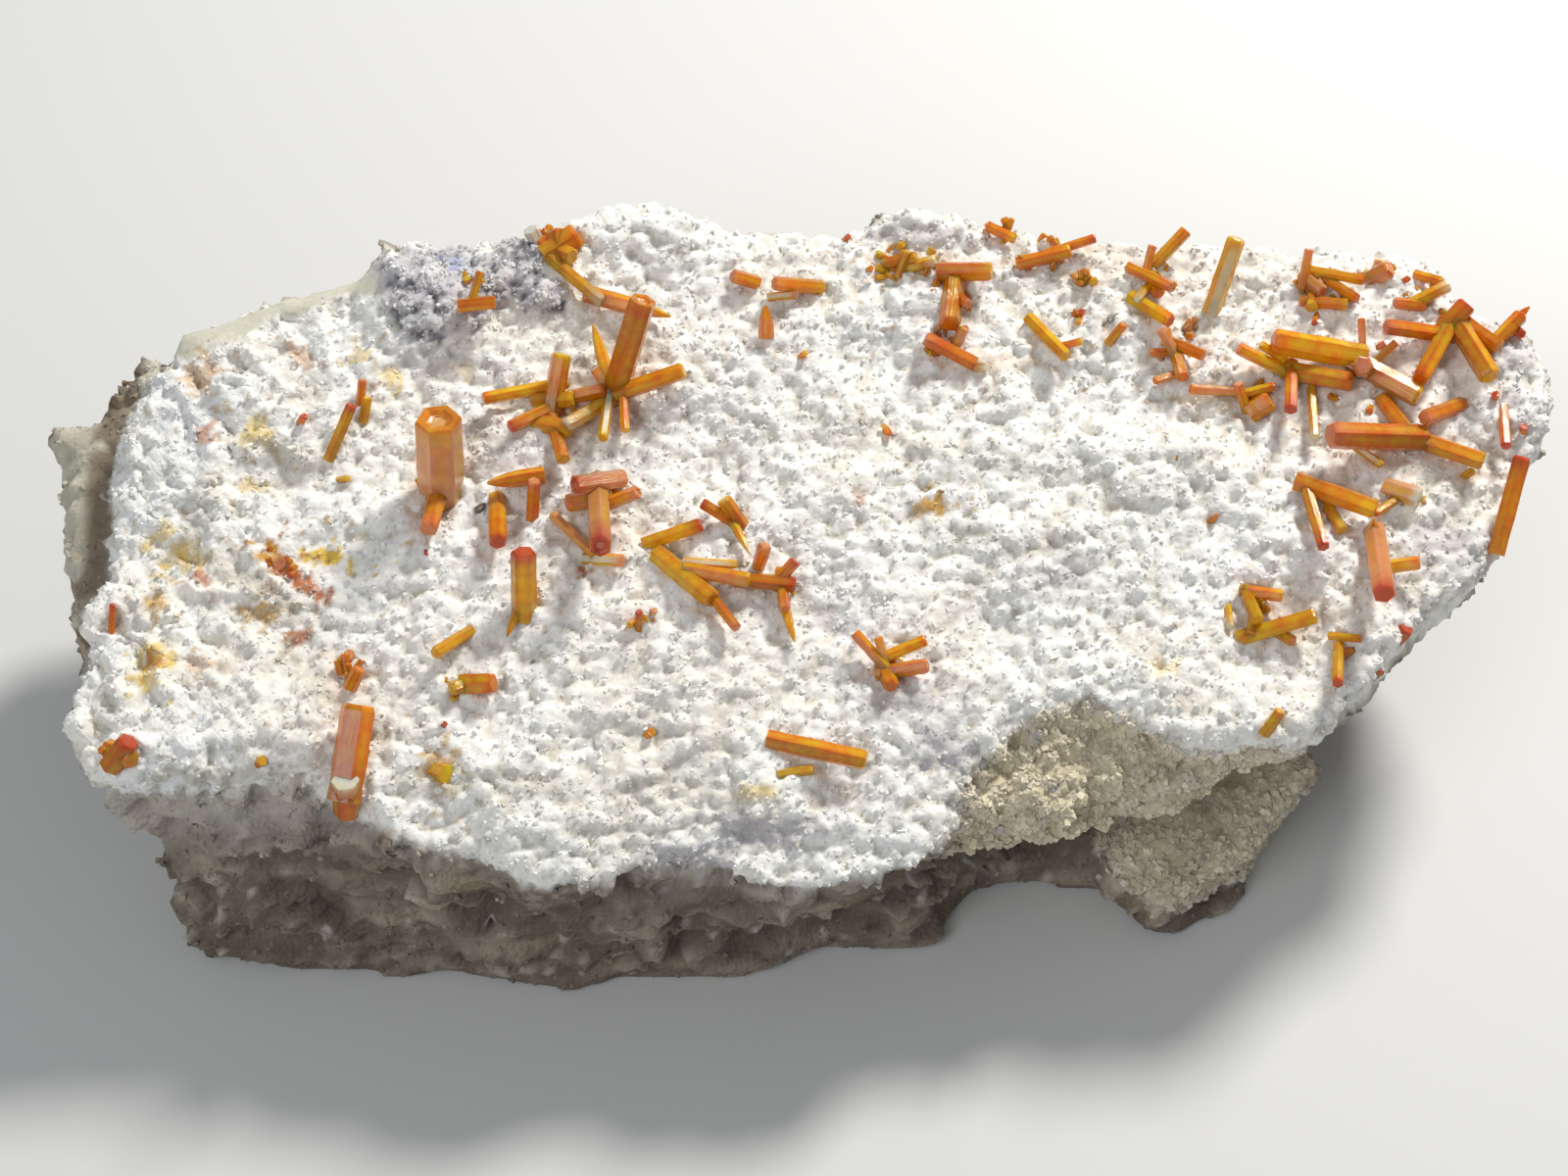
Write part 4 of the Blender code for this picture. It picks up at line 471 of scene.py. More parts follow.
def window(values, start, stop):
    """1 between start and stop, each a soft step given as its low and high."""
    return soft(values, start[0], start[1]) * soft(-values, -stop[1], -stop[0])


def wave(points, size, shift=0.0):
    """Smooth noise from -1 to 1 with features of this size; the shift sets noises apart."""
    scaled = points / size + shift
    return np.array([noise.noise(Vector(p)) for p in scaled.tolist()])


def cells(points, size, shift=0.0):
    """Distance to the nearest cell centre, as a share of the cell size."""
    scaled = points / size + shift
    return np.array([noise.voronoi(Vector(p))[0][0] for p in scaled.tolist()])


def corners_of(mesh):
    flat = np.zeros(len(mesh.vertices) * 3)
    mesh.vertices.foreach_get("co", flat)
    return flat.reshape(-1, 3)


def normals_of(mesh):
    flat = np.zeros(len(mesh.vertices) * 3)
    mesh.vertices.foreach_get("normal", flat)
    return flat.reshape(-1, 3)


def link(item):
    bpy.context.scene.collection.objects.link(item)
    return item


def baked(item):
    """The object with its modifiers worked out."""
    bpy.context.view_layer.update()
    graph = bpy.context.evaluated_depsgraph_get()
    mesh = bpy.data.meshes.new_from_object(item.evaluated_get(graph))
    item.modifiers.clear()
    item.data = mesh
    return item


def blank_skin():
    """The rock's solid as an even grid, finer on the crusted face."""
    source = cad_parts["matrix"]
    item = link(bpy.data.objects.new("look_matrix", source.data.copy()))
    item.data.materials.clear()
    grid = item.modifiers.new("grid", "REMESH")
    grid.mode = "VOXEL"
    grid.voxel_size = VOXEL
    round_off = item.modifiers.new("round_off", "SMOOTH")
    round_off.factor = 0.5
    round_off.iterations = 4
    baked(item)
    mesh = item.data
    spots = readings_of(corners_of(mesh))
    upward = normals_of(mesh) @ np.array(FACE_NORMAL)
    seen = (edge_distance(spots, FACE_OUTLINE) > -FINE_REACH) & (upward > FINE_UPWARD)
    bm = bmesh.new()
    bm.from_mesh(mesh)
    bm.verts.ensure_lookup_table()
    chosen = [e for e in bm.edges if seen[e.verts[0].index] and seen[e.verts[1].index]]
    bmesh.ops.subdivide_edges(bm, edges=chosen, cuts=1, use_grid_fill=True)
    bm.to_mesh(mesh)
    bm.free()
    return item


def mounds(points, size, shift=0.0):
    """Rounded bumps side by side, 1 at the middle of each and 0 between them."""
    return 1.0 - np.clip(cells(points, size, shift) / CELL_REACH, 0.0, 1.0) ** 2


def blocks(points, size, shift=0.0):
    """Tilted planes that meet at sharp steps, from about -1 to 1."""
    heights = []
    for place in (points / size + shift).tolist():
        spot = Vector(place)
        middle = noise.voronoi(spot)[1][0]
        lean = noise.noise_vector(middle * 5.3).normalized()
        heights.append(2.0 * (spot - middle).dot(lean))
    return np.array(heights)


def ridged(points, size, shift=0.0):
    """Sharp crests between rounded hollows, from -1 to 1."""
    return 1.0 - 3.2 * np.abs(wave(points, size, shift))


class Zones:
    """How much each point of the skin belongs to each kind of surface."""

    def __init__(self, points, normals):
        spots = readings_of(points)
        x, y = spots[:, 0], spots[:, 1]
        wobble = 7.0 * wave(points, 1.1 * MM, 40.0) + 4.0 * wave(points, 0.45 * MM, 60.0)
        upward = normals @ np.array(FACE_NORMAL)
        facing = -(normals @ np.array(FORWARD))
        inside = edge_distance(spots, FACE_OUTLINE) + 0.5 * wobble
        under_face = (FACE_MIDDLE.z + FACE_RISE * (points[:, 1] - FACE_MIDDLE.y)) - points[:, 2]
        on_top = soft(upward, 0.05, 0.35) * soft(-under_face, -2.6 * MM, -1.9 * MM)
        on_lip = soft(upward, -0.35, 0.05) * soft(-under_face, -1.5 * MM, -0.8 * MM)
        on_lip = on_lip * soft(wobble, -6.0, 6.0)
        on_right = soft(x + 0.8 * (y - 600.0), *RIGHT_END) * soft(upward, -0.55, -0.1)
        on_right = on_right * soft(-under_face, -4.5 * MM, -3.0 * MM)
        crusted = np.maximum(np.maximum(on_top, on_lip), on_right)
        self.face = soft(inside, -12.0, 0.0) * crusted
        rim = edge_distance(spots, RIM_OUTLINE) + wobble
        self.rim = soft(rim, -10.0, -1.0) * soft(facing, 0.0, 0.2)
        patch = edge_distance(spots, PATCH_OUTLINE) + 1.3 * wobble
        self.patch = soft(patch, -4.0, 4.0) * self.face
        layer = edge_distance(spots, LAYER_OUTLINE) + 0.3 * wobble
        self.layer = soft(layer, -4.0, 6.0) * (1.0 - self.face) * soft(facing, 0.0, 0.2)
        # Painted shadow in the gap between the back layer and the face's left edge
        self.gap_shadow = window(inside, (-36.0, -22.0), (-6.0, 0.0)) * soft(-x, *GAP_SHADOW_LEFT)
        self.gap_shadow = self.gap_shadow * window(y, *GAP_SHADOW_DOWN)
        knob = soft(edge_distance(spots, KNOB_OUTLINE) + wobble, -6.0, 10.0)
        self.knob = knob * (1.0 - self.face) * soft(facing, 0.0, 0.25)
        below = soft(y, *CAVITY_TOP) * soft(under_face, 0.1 * MM, 0.6 * MM)
        deep = soft(-under_face, -5.6 * MM, -4.4 * MM)
        cavity = window(x, *CAVITY_ACROSS) * below * deep
        self.cavity = cavity * (1.0 - self.face) * (1.0 - self.knob)
        self.left = self.face * soft(-(x + 0.25 * (y - 500.0)), *FLAKY_LEFT)
        rest = self.face + self.layer + self.knob + self.cavity + self.rim
        self.side = 1.0 - np.clip(rest, 0.0, 1.0)
        self.spots = spots
        self.upward = upward
        self.under_face = under_face


def striae(points):
    """Flaky steps of the left part, running down to the right across the face, from 0 to 1."""
    turn = math.radians(FLAKE_TURN_DEG)
    along = np.array([math.cos(turn), math.sin(turn), FACE_RISE * math.sin(turn)])
    across = np.array([-math.sin(turn), math.cos(turn), FACE_RISE * math.cos(turn)])
    bend = 0.9 * MM * wave(points, 2.2 * MM, 7.0) + 0.4 * MM * wave(points, 0.9 * MM, 8.0)
    lengthwise = points @ along / FLAKE_STRETCH
    stretched = np.stack([lengthwise, points @ across + bend, points[:, 2] * 0.4], axis=1)
    broad = wave(stretched, 1.0 * MM, 5.0)
    fine = ridged(stretched, 0.55 * MM, 15.0)
    return np.clip(0.44 + 0.70 * broad + 0.30 * fine, 0.0, 1.0)


class Grain:
    """Noises of the skin that both its shape and its colours use."""

    def __init__(self, points, zones):
        self.big = mounds(points, BIG_GRAIN)
        self.mid = mounds(points, FINE_GRAIN, 9.0)
        self.roll = wave(points, ROLL, 3.0)
        self.broad = wave(points, SWELL, 31.0)
        self.flaky = striae(points)
        self.rough = blocks(points, BLOCK, 80.0)
        self.jagged = blocks(points, CHIP, 85.0)
        beds = np.stack([points[:, 0] * 0.3, points[:, 1] * 0.3, points[:, 2] * 1.3], axis=1)
        self.streak = wave(beds, STREAK, 90.0)
        crust = 0.60 * self.big + 0.30 * self.mid + 0.12 * self.roll
        self.height = crust * (1.0 - zones.left) + (0.25 * crust + 0.75 * self.flaky) * zones.left


def relief(points, zones, grain):
    """How far each point of the skin is moved outwards."""
    sugar = mounds(points, SUGAR, 70.0)
    crust = 0.30 * (grain.big - 0.5) + 0.12 * (grain.mid - 0.5) + 0.24 * grain.roll + 0.28 * grain.broad
    flaky = 0.56 * (grain.flaky - 0.5) + 0.08 * (grain.big - 0.5) + 0.08 * (grain.mid - 0.5)
    flaky = flaky + 0.24 * grain.broad + 0.16 * grain.jagged + 0.14 * grain.roll
    face = crust + (flaky - crust) * zones.left
    patch = 0.20 + 0.22 * (grain.big - 0.5) + 0.22 * (grain.mid - 0.5) + 0.10 * grain.jagged
    face = face + (patch - face) * zones.patch
    face = face + (0.10 + 0.06 * grain.broad + 0.05 * grain.roll - face) * zones.rim
    cavity = 0.52 * (sugar - 0.5) + 0.26 * (grain.big - 0.5) + 0.16 * (grain.mid - 0.5)
    cavity = cavity + 0.12 * grain.jagged
    grainy = 0.18 * (grain.big - 0.5) + 0.14 * (grain.mid - 0.5) + 0.14 * grain.jagged
    side = 0.42 * grain.rough + 0.24 * grain.jagged + 0.16 * grain.streak + 0.16 * (grain.mid - 0.5)
    out = face * np.clip(zones.face + zones.rim, 0.0, 1.0) + cavity * zones.cavity
    out = out + grainy * np.clip(zones.knob + zones.layer, 0.0, 1.0) + side * zones.side
    return out * MM


def mixed(base, colour, share):
    return base + (np.array(colour) - base) * share[:, None]


def with_stains_shade_and_glow(colour, points, zones):
    """The colour with the stains, the painted shade and the painted glow laid over it, ragged at their
    edges.
    """
    ragged = 1.0 + 0.9 * wave(points, 0.6 * MM, 21.0) + 0.9 * wave(points, 0.33 * MM, 25.0)
    upward = soft(zones.upward, 0.0, 0.2)
    for x, y, wide, high, turn, tone, strength in STAINS_SHADE_AND_GLOW:
        angle = math.radians(turn)
        right = zones.spots[:, 0] - x
        down = zones.spots[:, 1] - y
        u = (right * math.cos(angle) + down * math.sin(angle)) / wide
        v = (down * math.cos(angle) - right * math.sin(angle)) / high
        share = soft(1.25 - np.hypot(u, v) * ragged, 0.05, 0.50) * strength
        colour = mixed(colour, STAIN_SHADE_GLOW_TONES[tone], share * upward)
    return colour


def skin_colours(points, zones, grain):
    """Colour of each point, from its zone, its height (painted shade where it lies low) and the stains,
    painted shade and painted glow.
    """
    count = len(points)
    height = grain.height
    speckle = wave(points, 0.42 * MM, 61.0) + 0.6 * wave(points, 1.0 * MM, 66.0)
    clouds = wave(points, 5.0 * MM, 51.0) + 0.5 * wave(points, 2.0 * MM, 53.0)
    # Painted shade: the crust darker the lower it lies, in its crevices and hollows
    colour = mixed(np.tile(np.array(CREVICE_SHADE), (count, 1)), WHITE, soft(height, 0.05, 0.45))
    colour = mixed(colour, WARM_WHITE, 0.45 * soft(clouds, 0.0, 0.6))
    # Cool white in clouds, stronger on the left part: partly own tone, partly painted shade there
    colour = mixed(colour, COOL_WHITE_LEFT_SHADE, 0.55 * soft(-clouds, -0.2, 0.5) * (0.35 + 0.65 * zones.left))
    # Painted shade: grey in the low places, where speckle and clouds are high
    hollow_shade = soft(speckle + 0.8 * clouds, 0.35, 1.0) * soft(0.75 - height, 0.0, 0.4)
    colour = mixed(colour, SHADE_GREY, 0.6 * hollow_shade)
    tone = soft(grain.streak + 0.4 * grain.rough + 0.4 * speckle, -0.3, 1.0)
    side = mixed(np.tile(np.array(FLANK), (count, 1)), FLANK_LIGHT, tone)
    side = mixed(side, FLANK_PALE, 0.7 * soft(speckle + 0.6 * grain.jagged, 0.75, 1.15))
    side = mixed(side, FLANK, 0.6 * soft(-clouds, 0.05, 0.6))
    side = mixed(side, FLANK_WARM, 0.55 * soft(clouds + 0.5 * grain.streak, 0.15, 0.8))
    lit = soft(-zones.spots[:, 0], *LIT_LEFT) * window(zones.spots[:, 1], *LIT_DOWN)
    side = mixed(side, FLANK_PALE, 0.85 * lit)
    under_lip = soft(-zones.under_face, -2.6 * MM, -1.2 * MM)
    under_lip = under_lip * soft(zones.spots[:, 0], *PALE_LIP_RIGHT)
    side = mixed(side, FLANK_PALE, 0.6 * under_lip * soft(speckle, -0.5, 0.5))
    colour = colour + (side - colour) * zones.side[:, None]
    shade = 0.80 + 0.35 * height
    for share, tint in ((zones.cavity, CAVITY), (zones.knob, KNOB), (zones.layer, LAYER)):
        tinted = np.clip(np.array(tint)[None, :] * shade[:, None], 0.0, 0.85)
        colour = colour + (tinted - colour) * share[:, None]
    # Painted shadow in the gap beside the back layer
    colour = mixed(colour, GAP_SHADOW, 0.85 * zones.gap_shadow)
    colour = mixed(colour, RIM, zones.rim * (1.0 - zones.patch))
    # The grey patch and its dark specks: its own colours, with painted shade deeper in its hollows
    colour = mixed(colour, PATCH, zones.patch * (0.55 + 0.4 * soft(0.8 - height, 0.0, 0.4)))
    specks_and_shade = 0.7 * wave(points, 0.26 * MM, 71.0) + 0.6 * wave(points, 1.1 * MM, 73.0)
    specks_and_shade = specks_and_shade + 1.3 * (0.45 - height)
    colour = mixed(colour, SPECK_AND_SHADE, 0.85 * zones.patch * soft(specks_and_shade, 0.12, 0.5))
    return np.clip(with_stains_shade_and_glow(colour, points, zones), 0.0, 1.0)


def paint(mesh, name, values):
    layer = mesh.color_attributes.new(name, "FLOAT_COLOR", "POINT")
    rgba = np.ones((len(values), 4), np.float32)
    rgba[:, :3] = values
    layer.data.foreach_set("color", rgba.ravel())


def add_number(mesh, name, values):
    layer = mesh.attributes.new(name, "FLOAT", "POINT")
    layer.data.foreach_set("value", np.asarray(values, np.float32))


def make_skin():
    item = blank_skin()
    mesh = item.data
    points = corners_of(mesh)
    normals = normals_of(mesh)
    zones = Zones(points, normals)
    grain = Grain(points, zones)
    grounded = soft(points[:, 2], *RELIEF_HEIGHTS)
    moved = points + normals * (relief(points, zones, grain) * grounded)[:, None]
    lifted = np.maximum(moved[:, 2], GROUND_GAP)
    moved[:, 2] = np.where(points[:, 2] < UNDERSIDE, points[:, 2], lifted)
    mesh.vertices.foreach_set("co", moved.ravel())
    paint(mesh, "tint", skin_colours(points, zones, grain))
    add_number(mesh, "waxy", np.clip(zones.rim * (1.0 - zones.patch), 0.0, 1.0))
    add_number(mesh, "flaky", zones.left * (1.0 - zones.patch))
    add_number(mesh, "broken", zones.side)
    mesh.shade_smooth()
    mesh.update()
    return item, zones


# Lean of the loose grains, how far in millimetres they lie round their points, their shades, and how
# much of their own colour they have over the skin's
RHOMB_LEAN = 0.35
GRAIN_SPREAD = 0.30
GRAIN_SHADES = 0.82, 1.12
GRAIN_TINT = 0.25
# How many, smallest and largest size, share of the size sunk into the skin, and colour
SUGAR_GRAINS = 7500, (0.10 * MM, 0.30 * MM), 0.25, (0.78, 0.73, 0.60)
CRUST_GRAINS = 15000, (0.08 * MM, 0.20 * MM), 0.35, (0.90, 0.89, 0.86)
FLANK_CHIPS = 8000, (0.08 * MM, 0.26 * MM), 0.5, FLANK_LIGHT


def scattered(name, skin, share_of, count, sizes, sink, tint, rng):
    """One mesh of small rhombs sunk into the skin, closest together where share_of is high."""
    mesh = skin.data
    points = corners_of(mesh)
    normals = normals_of(mesh)
    picks = rng.choice(len(points), size=count, p=share_of / share_of.sum())
    cube = np.array([(x, y, z) for x in (-1, 1) for y in (-1, 1) for z in (-1, 1)], float)
    cube[:, 0] += RHOMB_LEAN * cube[:, 1]
    quads = [(0, 1, 3, 2), (4, 6, 7, 5), (0, 4, 5, 1), (2, 3, 7, 6), (0, 2, 6, 4), (1, 5, 7, 3)]
    turns = rng.normal(size=(count, 4))
    turns /= np.linalg.norm(turns, axis=1)[:, None]
    w, x, y, z = turns.T
    rotation = np.stack([
        1 - 2 * (y * y + z * z), 2 * (x * y - z * w), 2 * (x * z + y * w),
        2 * (x * y + z * w), 1 - 2 * (x * x + z * z), 2 * (y * z - x * w),
        2 * (x * z - y * w), 2 * (y * z + x * w), 1 - 2 * (x * x + y * y),
    ], axis=1).reshape(-1, 3, 3)
    size = rng.uniform(sizes[0], sizes[1], count)
    outward = normals[picks]
    spread = rng.uniform(-0.5, 0.5, (count, 3)) * GRAIN_SPREAD * MM
    spread -= outward * (spread * outward).sum(axis=1)[:, None]
    centres = points[picks] + spread - outward * (size * sink)[:, None]
    turned = np.einsum("nij,kj->nki", rotation, cube)
    corners = centres[:, None, :] + size[:, None, None] * 0.5 * turned
    corners[:, :, 2] = np.maximum(corners[:, :, 2], GROUND_GAP)
    made = bpy.data.meshes.new(name)
    faces = (np.array(quads)[None, :, :] + 8 * np.arange(count)[:, None, None]).reshape(-1, 4)
    made.from_pydata(corners.reshape(-1, 3).tolist(), [], faces.tolist())
    shade = np.repeat(rng.uniform(*GRAIN_SHADES, count), 8)
    source = np.zeros(len(points) * 4, np.float32)
    mesh.color_attributes["tint"].data.foreach_get("color", source)
    under = source.reshape(-1, 4)[picks, :3]
    mixed_tint = np.repeat((1.0 - GRAIN_TINT) * under + GRAIN_TINT * np.array(tint), 8, axis=0)
    paint(made, "tint", np.clip(mixed_tint * shade[:, None], 0.0, 0.95))
    made.update()
    return link(bpy.data.objects.new(name, made))


# Tones of the crystals in linear light
TONES = {
    "A": (0.92, 0.36, 0.020),
    "O": (0.92, 0.27, 0.014),
    "Y": (0.98, 0.56, 0.020),
    "R": (0.68, 0.11, 0.035),
    "P": (0.90, 0.36, 0.15),
    # White: mostly a painted highlight of glinting facets, partly pale frosted ends
    "W": (0.99, 0.93, 0.70),
    "C": (0.84, 0.84, 0.80),
}
# How much of each colour is left along the edges of the facets, and of the pink prisms' frosted edges
EDGE_DIM = (0.93, 0.70, 0.55)
EDGE_FROST = (1.03, 1.22, 1.5)
# How clear and how bright a facet may be, and how much a white prism's facets must point at the eye
# to be painted white, a painted highlight
CLEARNESS = (0.1, 0.3, 0.5, 0.8)
FACET_SHADES = (0.78, 0.9, 1.0, 1.06)
HIGHLIGHT_FACING = 0.72
# Shares of a prism's length: where the tip's tone starts and how far it reaches, and the pinkish root
TIP_START = 0.66
TIP_REACH = 0.34
ROOT_REACH = 0.25
# Druse crystals: how deep they are seated, and their lengths and widths in millimetres
DRUSE_SINK = 0.15
DRUSE_LENGTHS = 0.30, 0.75
DRUSE_WIDTHS = 0.20, 0.46


def blend(a, b, share):
    return tuple(x + (y - x) * share for x, y in zip(a, b))


def profile(length, radius, end):
    """Distances along the axis and shares of the radius, root first."""
    slope = min(0.30 * radius, 0.2 * length)
    swell = 0.03 * math.sin(40.0 * radius / MM)
    body = [(0.0, 1.0), (0.2 * length, 1.0 + swell), (0.42 * length, 1.0 - swell)]
    if end == TAPER:
        return body + [(0.62 * length, 0.86), (0.84 * length, 0.55), (length, 0.16)]
    body += [(0.66 * length, 1.0 + 0.5 * swell), (0.84 * length, 1.0)]
    if end == HOLLOW:
        return body + [
            (length - 0.5 * slope, 1.0), (length, 0.93), (length - 0.01 * MM, 0.66),
            (length - 0.14 * radius, 0.50), (length - 0.20 * radius, 0.34),
        ]
    if end == BEVEL:
        return body + [(length - slope, 1.0), (length - 0.25 * slope, 0.88), (length, 0.76)]
    return body + [(length - 0.2 * slope, 1.0), (length, 0.94)]


class Prism:
    """A six-sided prism in the making: corners, tones and the paler window of each facet."""

    def __init__(self, bm, root, tip, width, code, rng):
        self.bm = bm
        self.tint = bm.loops.layers.float_color["tint"]
        self.grain = bm.loops.layers.uv["grain"]
        self.root = root
        self.axis = (tip - root).normalized()
        self.length = (tip - root).length
        self.radius = 0.5 * width
        self.side = self.axis.orthogonal().normalized()
        self.side.rotate(Matrix.Rotation(math.radians(rng.uniform(0.0, 60.0)), 3, self.axis))
        self.over = self.axis.cross(self.side) * rng.uniform(0.88, 1.0)
        self.body = TONES["Y" if code[0] == "W" else code[0]]
        self.window = TONES[code[0] if code[0] in "WC" else "Y"]
        self.top = TONES[code[1]]
        self.clearness_and_highlight = [rng.choice(CLEARNESS) for _ in range(6)]
        # A white prism's facets that face the eye take the white: a painted highlight
        if code[0] == "W":
            facing = [self.outward(i).dot(-FORWARD) for i in range(6)]
            self.clearness_and_highlight = [1.0 if share > HIGHLIGHT_FACING else 0.0 for share in facing]
        self.shades = [rng.choice(FACET_SHADES) for _ in range(6)]
        self.shift = rng.uniform(0.0, 50.0)
        self.edge = EDGE_FROST if code[0] == "P" else EDGE_DIM

    def spoke(self, turn_deg):
        angle = math.radians(turn_deg)
        return math.cos(angle) * self.side + math.sin(angle) * self.over

    def outward(self, facet):
        return self.spoke(60.0 * facet + 30.0)

    def row(self, along, wide):
        """A ring of points: each corner, then the middle of the facet that follows it."""
        spots = [self.radius * wide * self.spoke(60.0 * i) for i in range(6)]
        verts = []
        for here, there in zip(spots, spots[1:] + spots[:1]):
            for share in (0.0, 0.5):
                spot = self.root + self.axis * along + here.lerp(there, share)
                verts.append(self.bm.verts.new(spot))
        return verts

    def tone(self, along, middle, facet):
        """Redder or paler towards the tip, pinkish at the root, yellower in the window."""
        share = along / self.length
        tone = blend(self.body, self.top, max(0.0, (share - TIP_START) / TIP_REACH) ** 1.5)
        tone = blend(tone, TONES["P"], 0.8 * max(0.0, ROOT_REACH - share))
        if not middle and (self.window != TONES["W"] or self.clearness_and_highlight[facet] < 0.5):
            return tuple(c * dim * self.shades[facet] for c, dim in zip(tone, self.edge))
        before_tip = (0.95 * self.length - along) / (0.2 * self.length)
        clear = self.clearness_and_highlight[facet] * min(1.0, max(0.0, before_tip))
        return tuple(c * self.shades[facet] for c in blend(tone, self.window, clear))

    def wall(self, lower, upper, low_at, high_at):
        for i in range(12):
            after = (i + 1) % 12
            corners = [(lower[i], low_at, i), (lower[after], low_at, i + 1)]
            corners += [(upper[after], high_at, i + 1), (upper[i], high_at, i)]
            face = self.bm.faces.new([vert for vert, _, _ in corners])
            for loop, (_, along, number) in zip(face.loops, corners):
                loop[self.tint] = (*self.tone(along, number % 2 == 1, i // 2), 1.0)
                loop[self.grain].uv = (0.5 * number, along / MM + self.shift)

    def cap(self, verts, tone):
        face = self.bm.faces.new(verts)
        for number, loop in enumerate(face.loops):
            loop[self.tint] = (*tone, 1.0)
            loop[self.grain].uv = (0.3 * number, self.shift)


def add_crystal(bm, root, tip, width, end, code, rng):
    prism = Prism(bm, root, tip, width, code, rng)
    marks = profile(prism.length, prism.radius, end)
    rows = [prism.row(along, wide) for along, wide in marks]
    for (lower, upper), (low, high) in zip(zip(rows, rows[1:]), zip(marks, marks[1:])):
        prism.wall(lower, upper, low[0], high[0])
    prism.cap(rows[-1], prism.top if end != HOLLOW else blend(prism.top, TONES["W"], 0.25))
    prism.cap(list(reversed(rows[0])), prism.body)


def seated(pixel, lift, tree):
    """The point of a reading this far over the rock's solid."""
    ray = sight(pixel)
    hit = tree.ray_cast(EYE, ray)[0]
    nominal = on_face(pixel)
    if hit is None or (hit - nominal).length > SEAT_REACH:
        hit = nominal
    return hit - ray * (lift * FACE_NORMAL.z / -ray.dot(FACE_NORMAL))


def blank_crystals():
    bm = bmesh.new()
    bm.loops.layers.float_color.new("tint")
    bm.loops.layers.uv.new("grain")
    return bm


def finished(name, bm):
    """The mesh with every sharp edge broken a little."""
    sharp = [e for e in bm.edges if e.calc_face_angle(0.0) > math.radians(SHARP_DEG)]
    bmesh.ops.bevel(bm, geom=sharp, offset=EDGE_BREAK, segments=1, affect="EDGES", clamp_overlap=True)
    mesh = bpy.data.meshes.new(name)
    bm.to_mesh(mesh)
    bm.free()
    return link(bpy.data.objects.new(name, mesh))


def add_rows(bm, rows, tree, rng):
    for root_x, root_y, tip_x, tip_y, width, root_lift, tip_lift, code in rows:
        root = seated((root_x, root_y), root_lift * MM - ROOT_SINK, tree)
        tip = seated((tip_x, tip_y), tip_lift * MM, tree)
        root -= (tip - root).normalized() * ROOT_STUB * MM
        add_crystal(bm, root, tip, width * MM, code[0], code[1:], rng)


def add_druses(bm, tree, rng):
    for (x, y), reach, count, code in DRUSES:
        for _ in range(count):
            angle = rng.uniform(0.0, 2.0 * math.pi)
            away = reach * math.sqrt(rng.random())
            spot = (x + away * math.cos(angle), y + 0.7 * away * math.sin(angle))
            root = seated(spot, -DRUSE_SINK * MM, tree)
            lean = Vector((rng.uniform(-1.0, 1.0), rng.uniform(-1.0, 1.0), rng.uniform(0.2, 1.0)))
            tip = root + lean.normalized() * rng.uniform(*DRUSE_LENGTHS) * MM
            width = rng.uniform(*DRUSE_WIDTHS) * MM
            tone = rng.choice((code, code[::-1], code[0] + "Y"))
            add_crystal(bm, root, tip, width, rng.choice((BEVEL, BEVEL, TAPER)), tone, rng)


# Noises of the looks, in features to a metre, and depths of the bumps
STONE_GRAIN = 5200.0
STONE_CRUMBS = 3900.0
STONE_GLINTS = 8000.0
STONE_FLAKES = 3300.0
ROCK_BUMP = 0.055 * MM
GRAINS_BUMP = 0.02 * MM
CRYSTAL_CLOUDS = 2600.0
CRYSTAL_SCRATCHES = 8000.0
CRYSTAL_BUMP = 0.032 * MM
# Features to a millimetre round and along a crystal, of its striae and its cross bands
STRIAE_SCALE = (9.0, 0.7, 1.0)
BANDS_SCALE = (0.5, 1.5, 1.0)


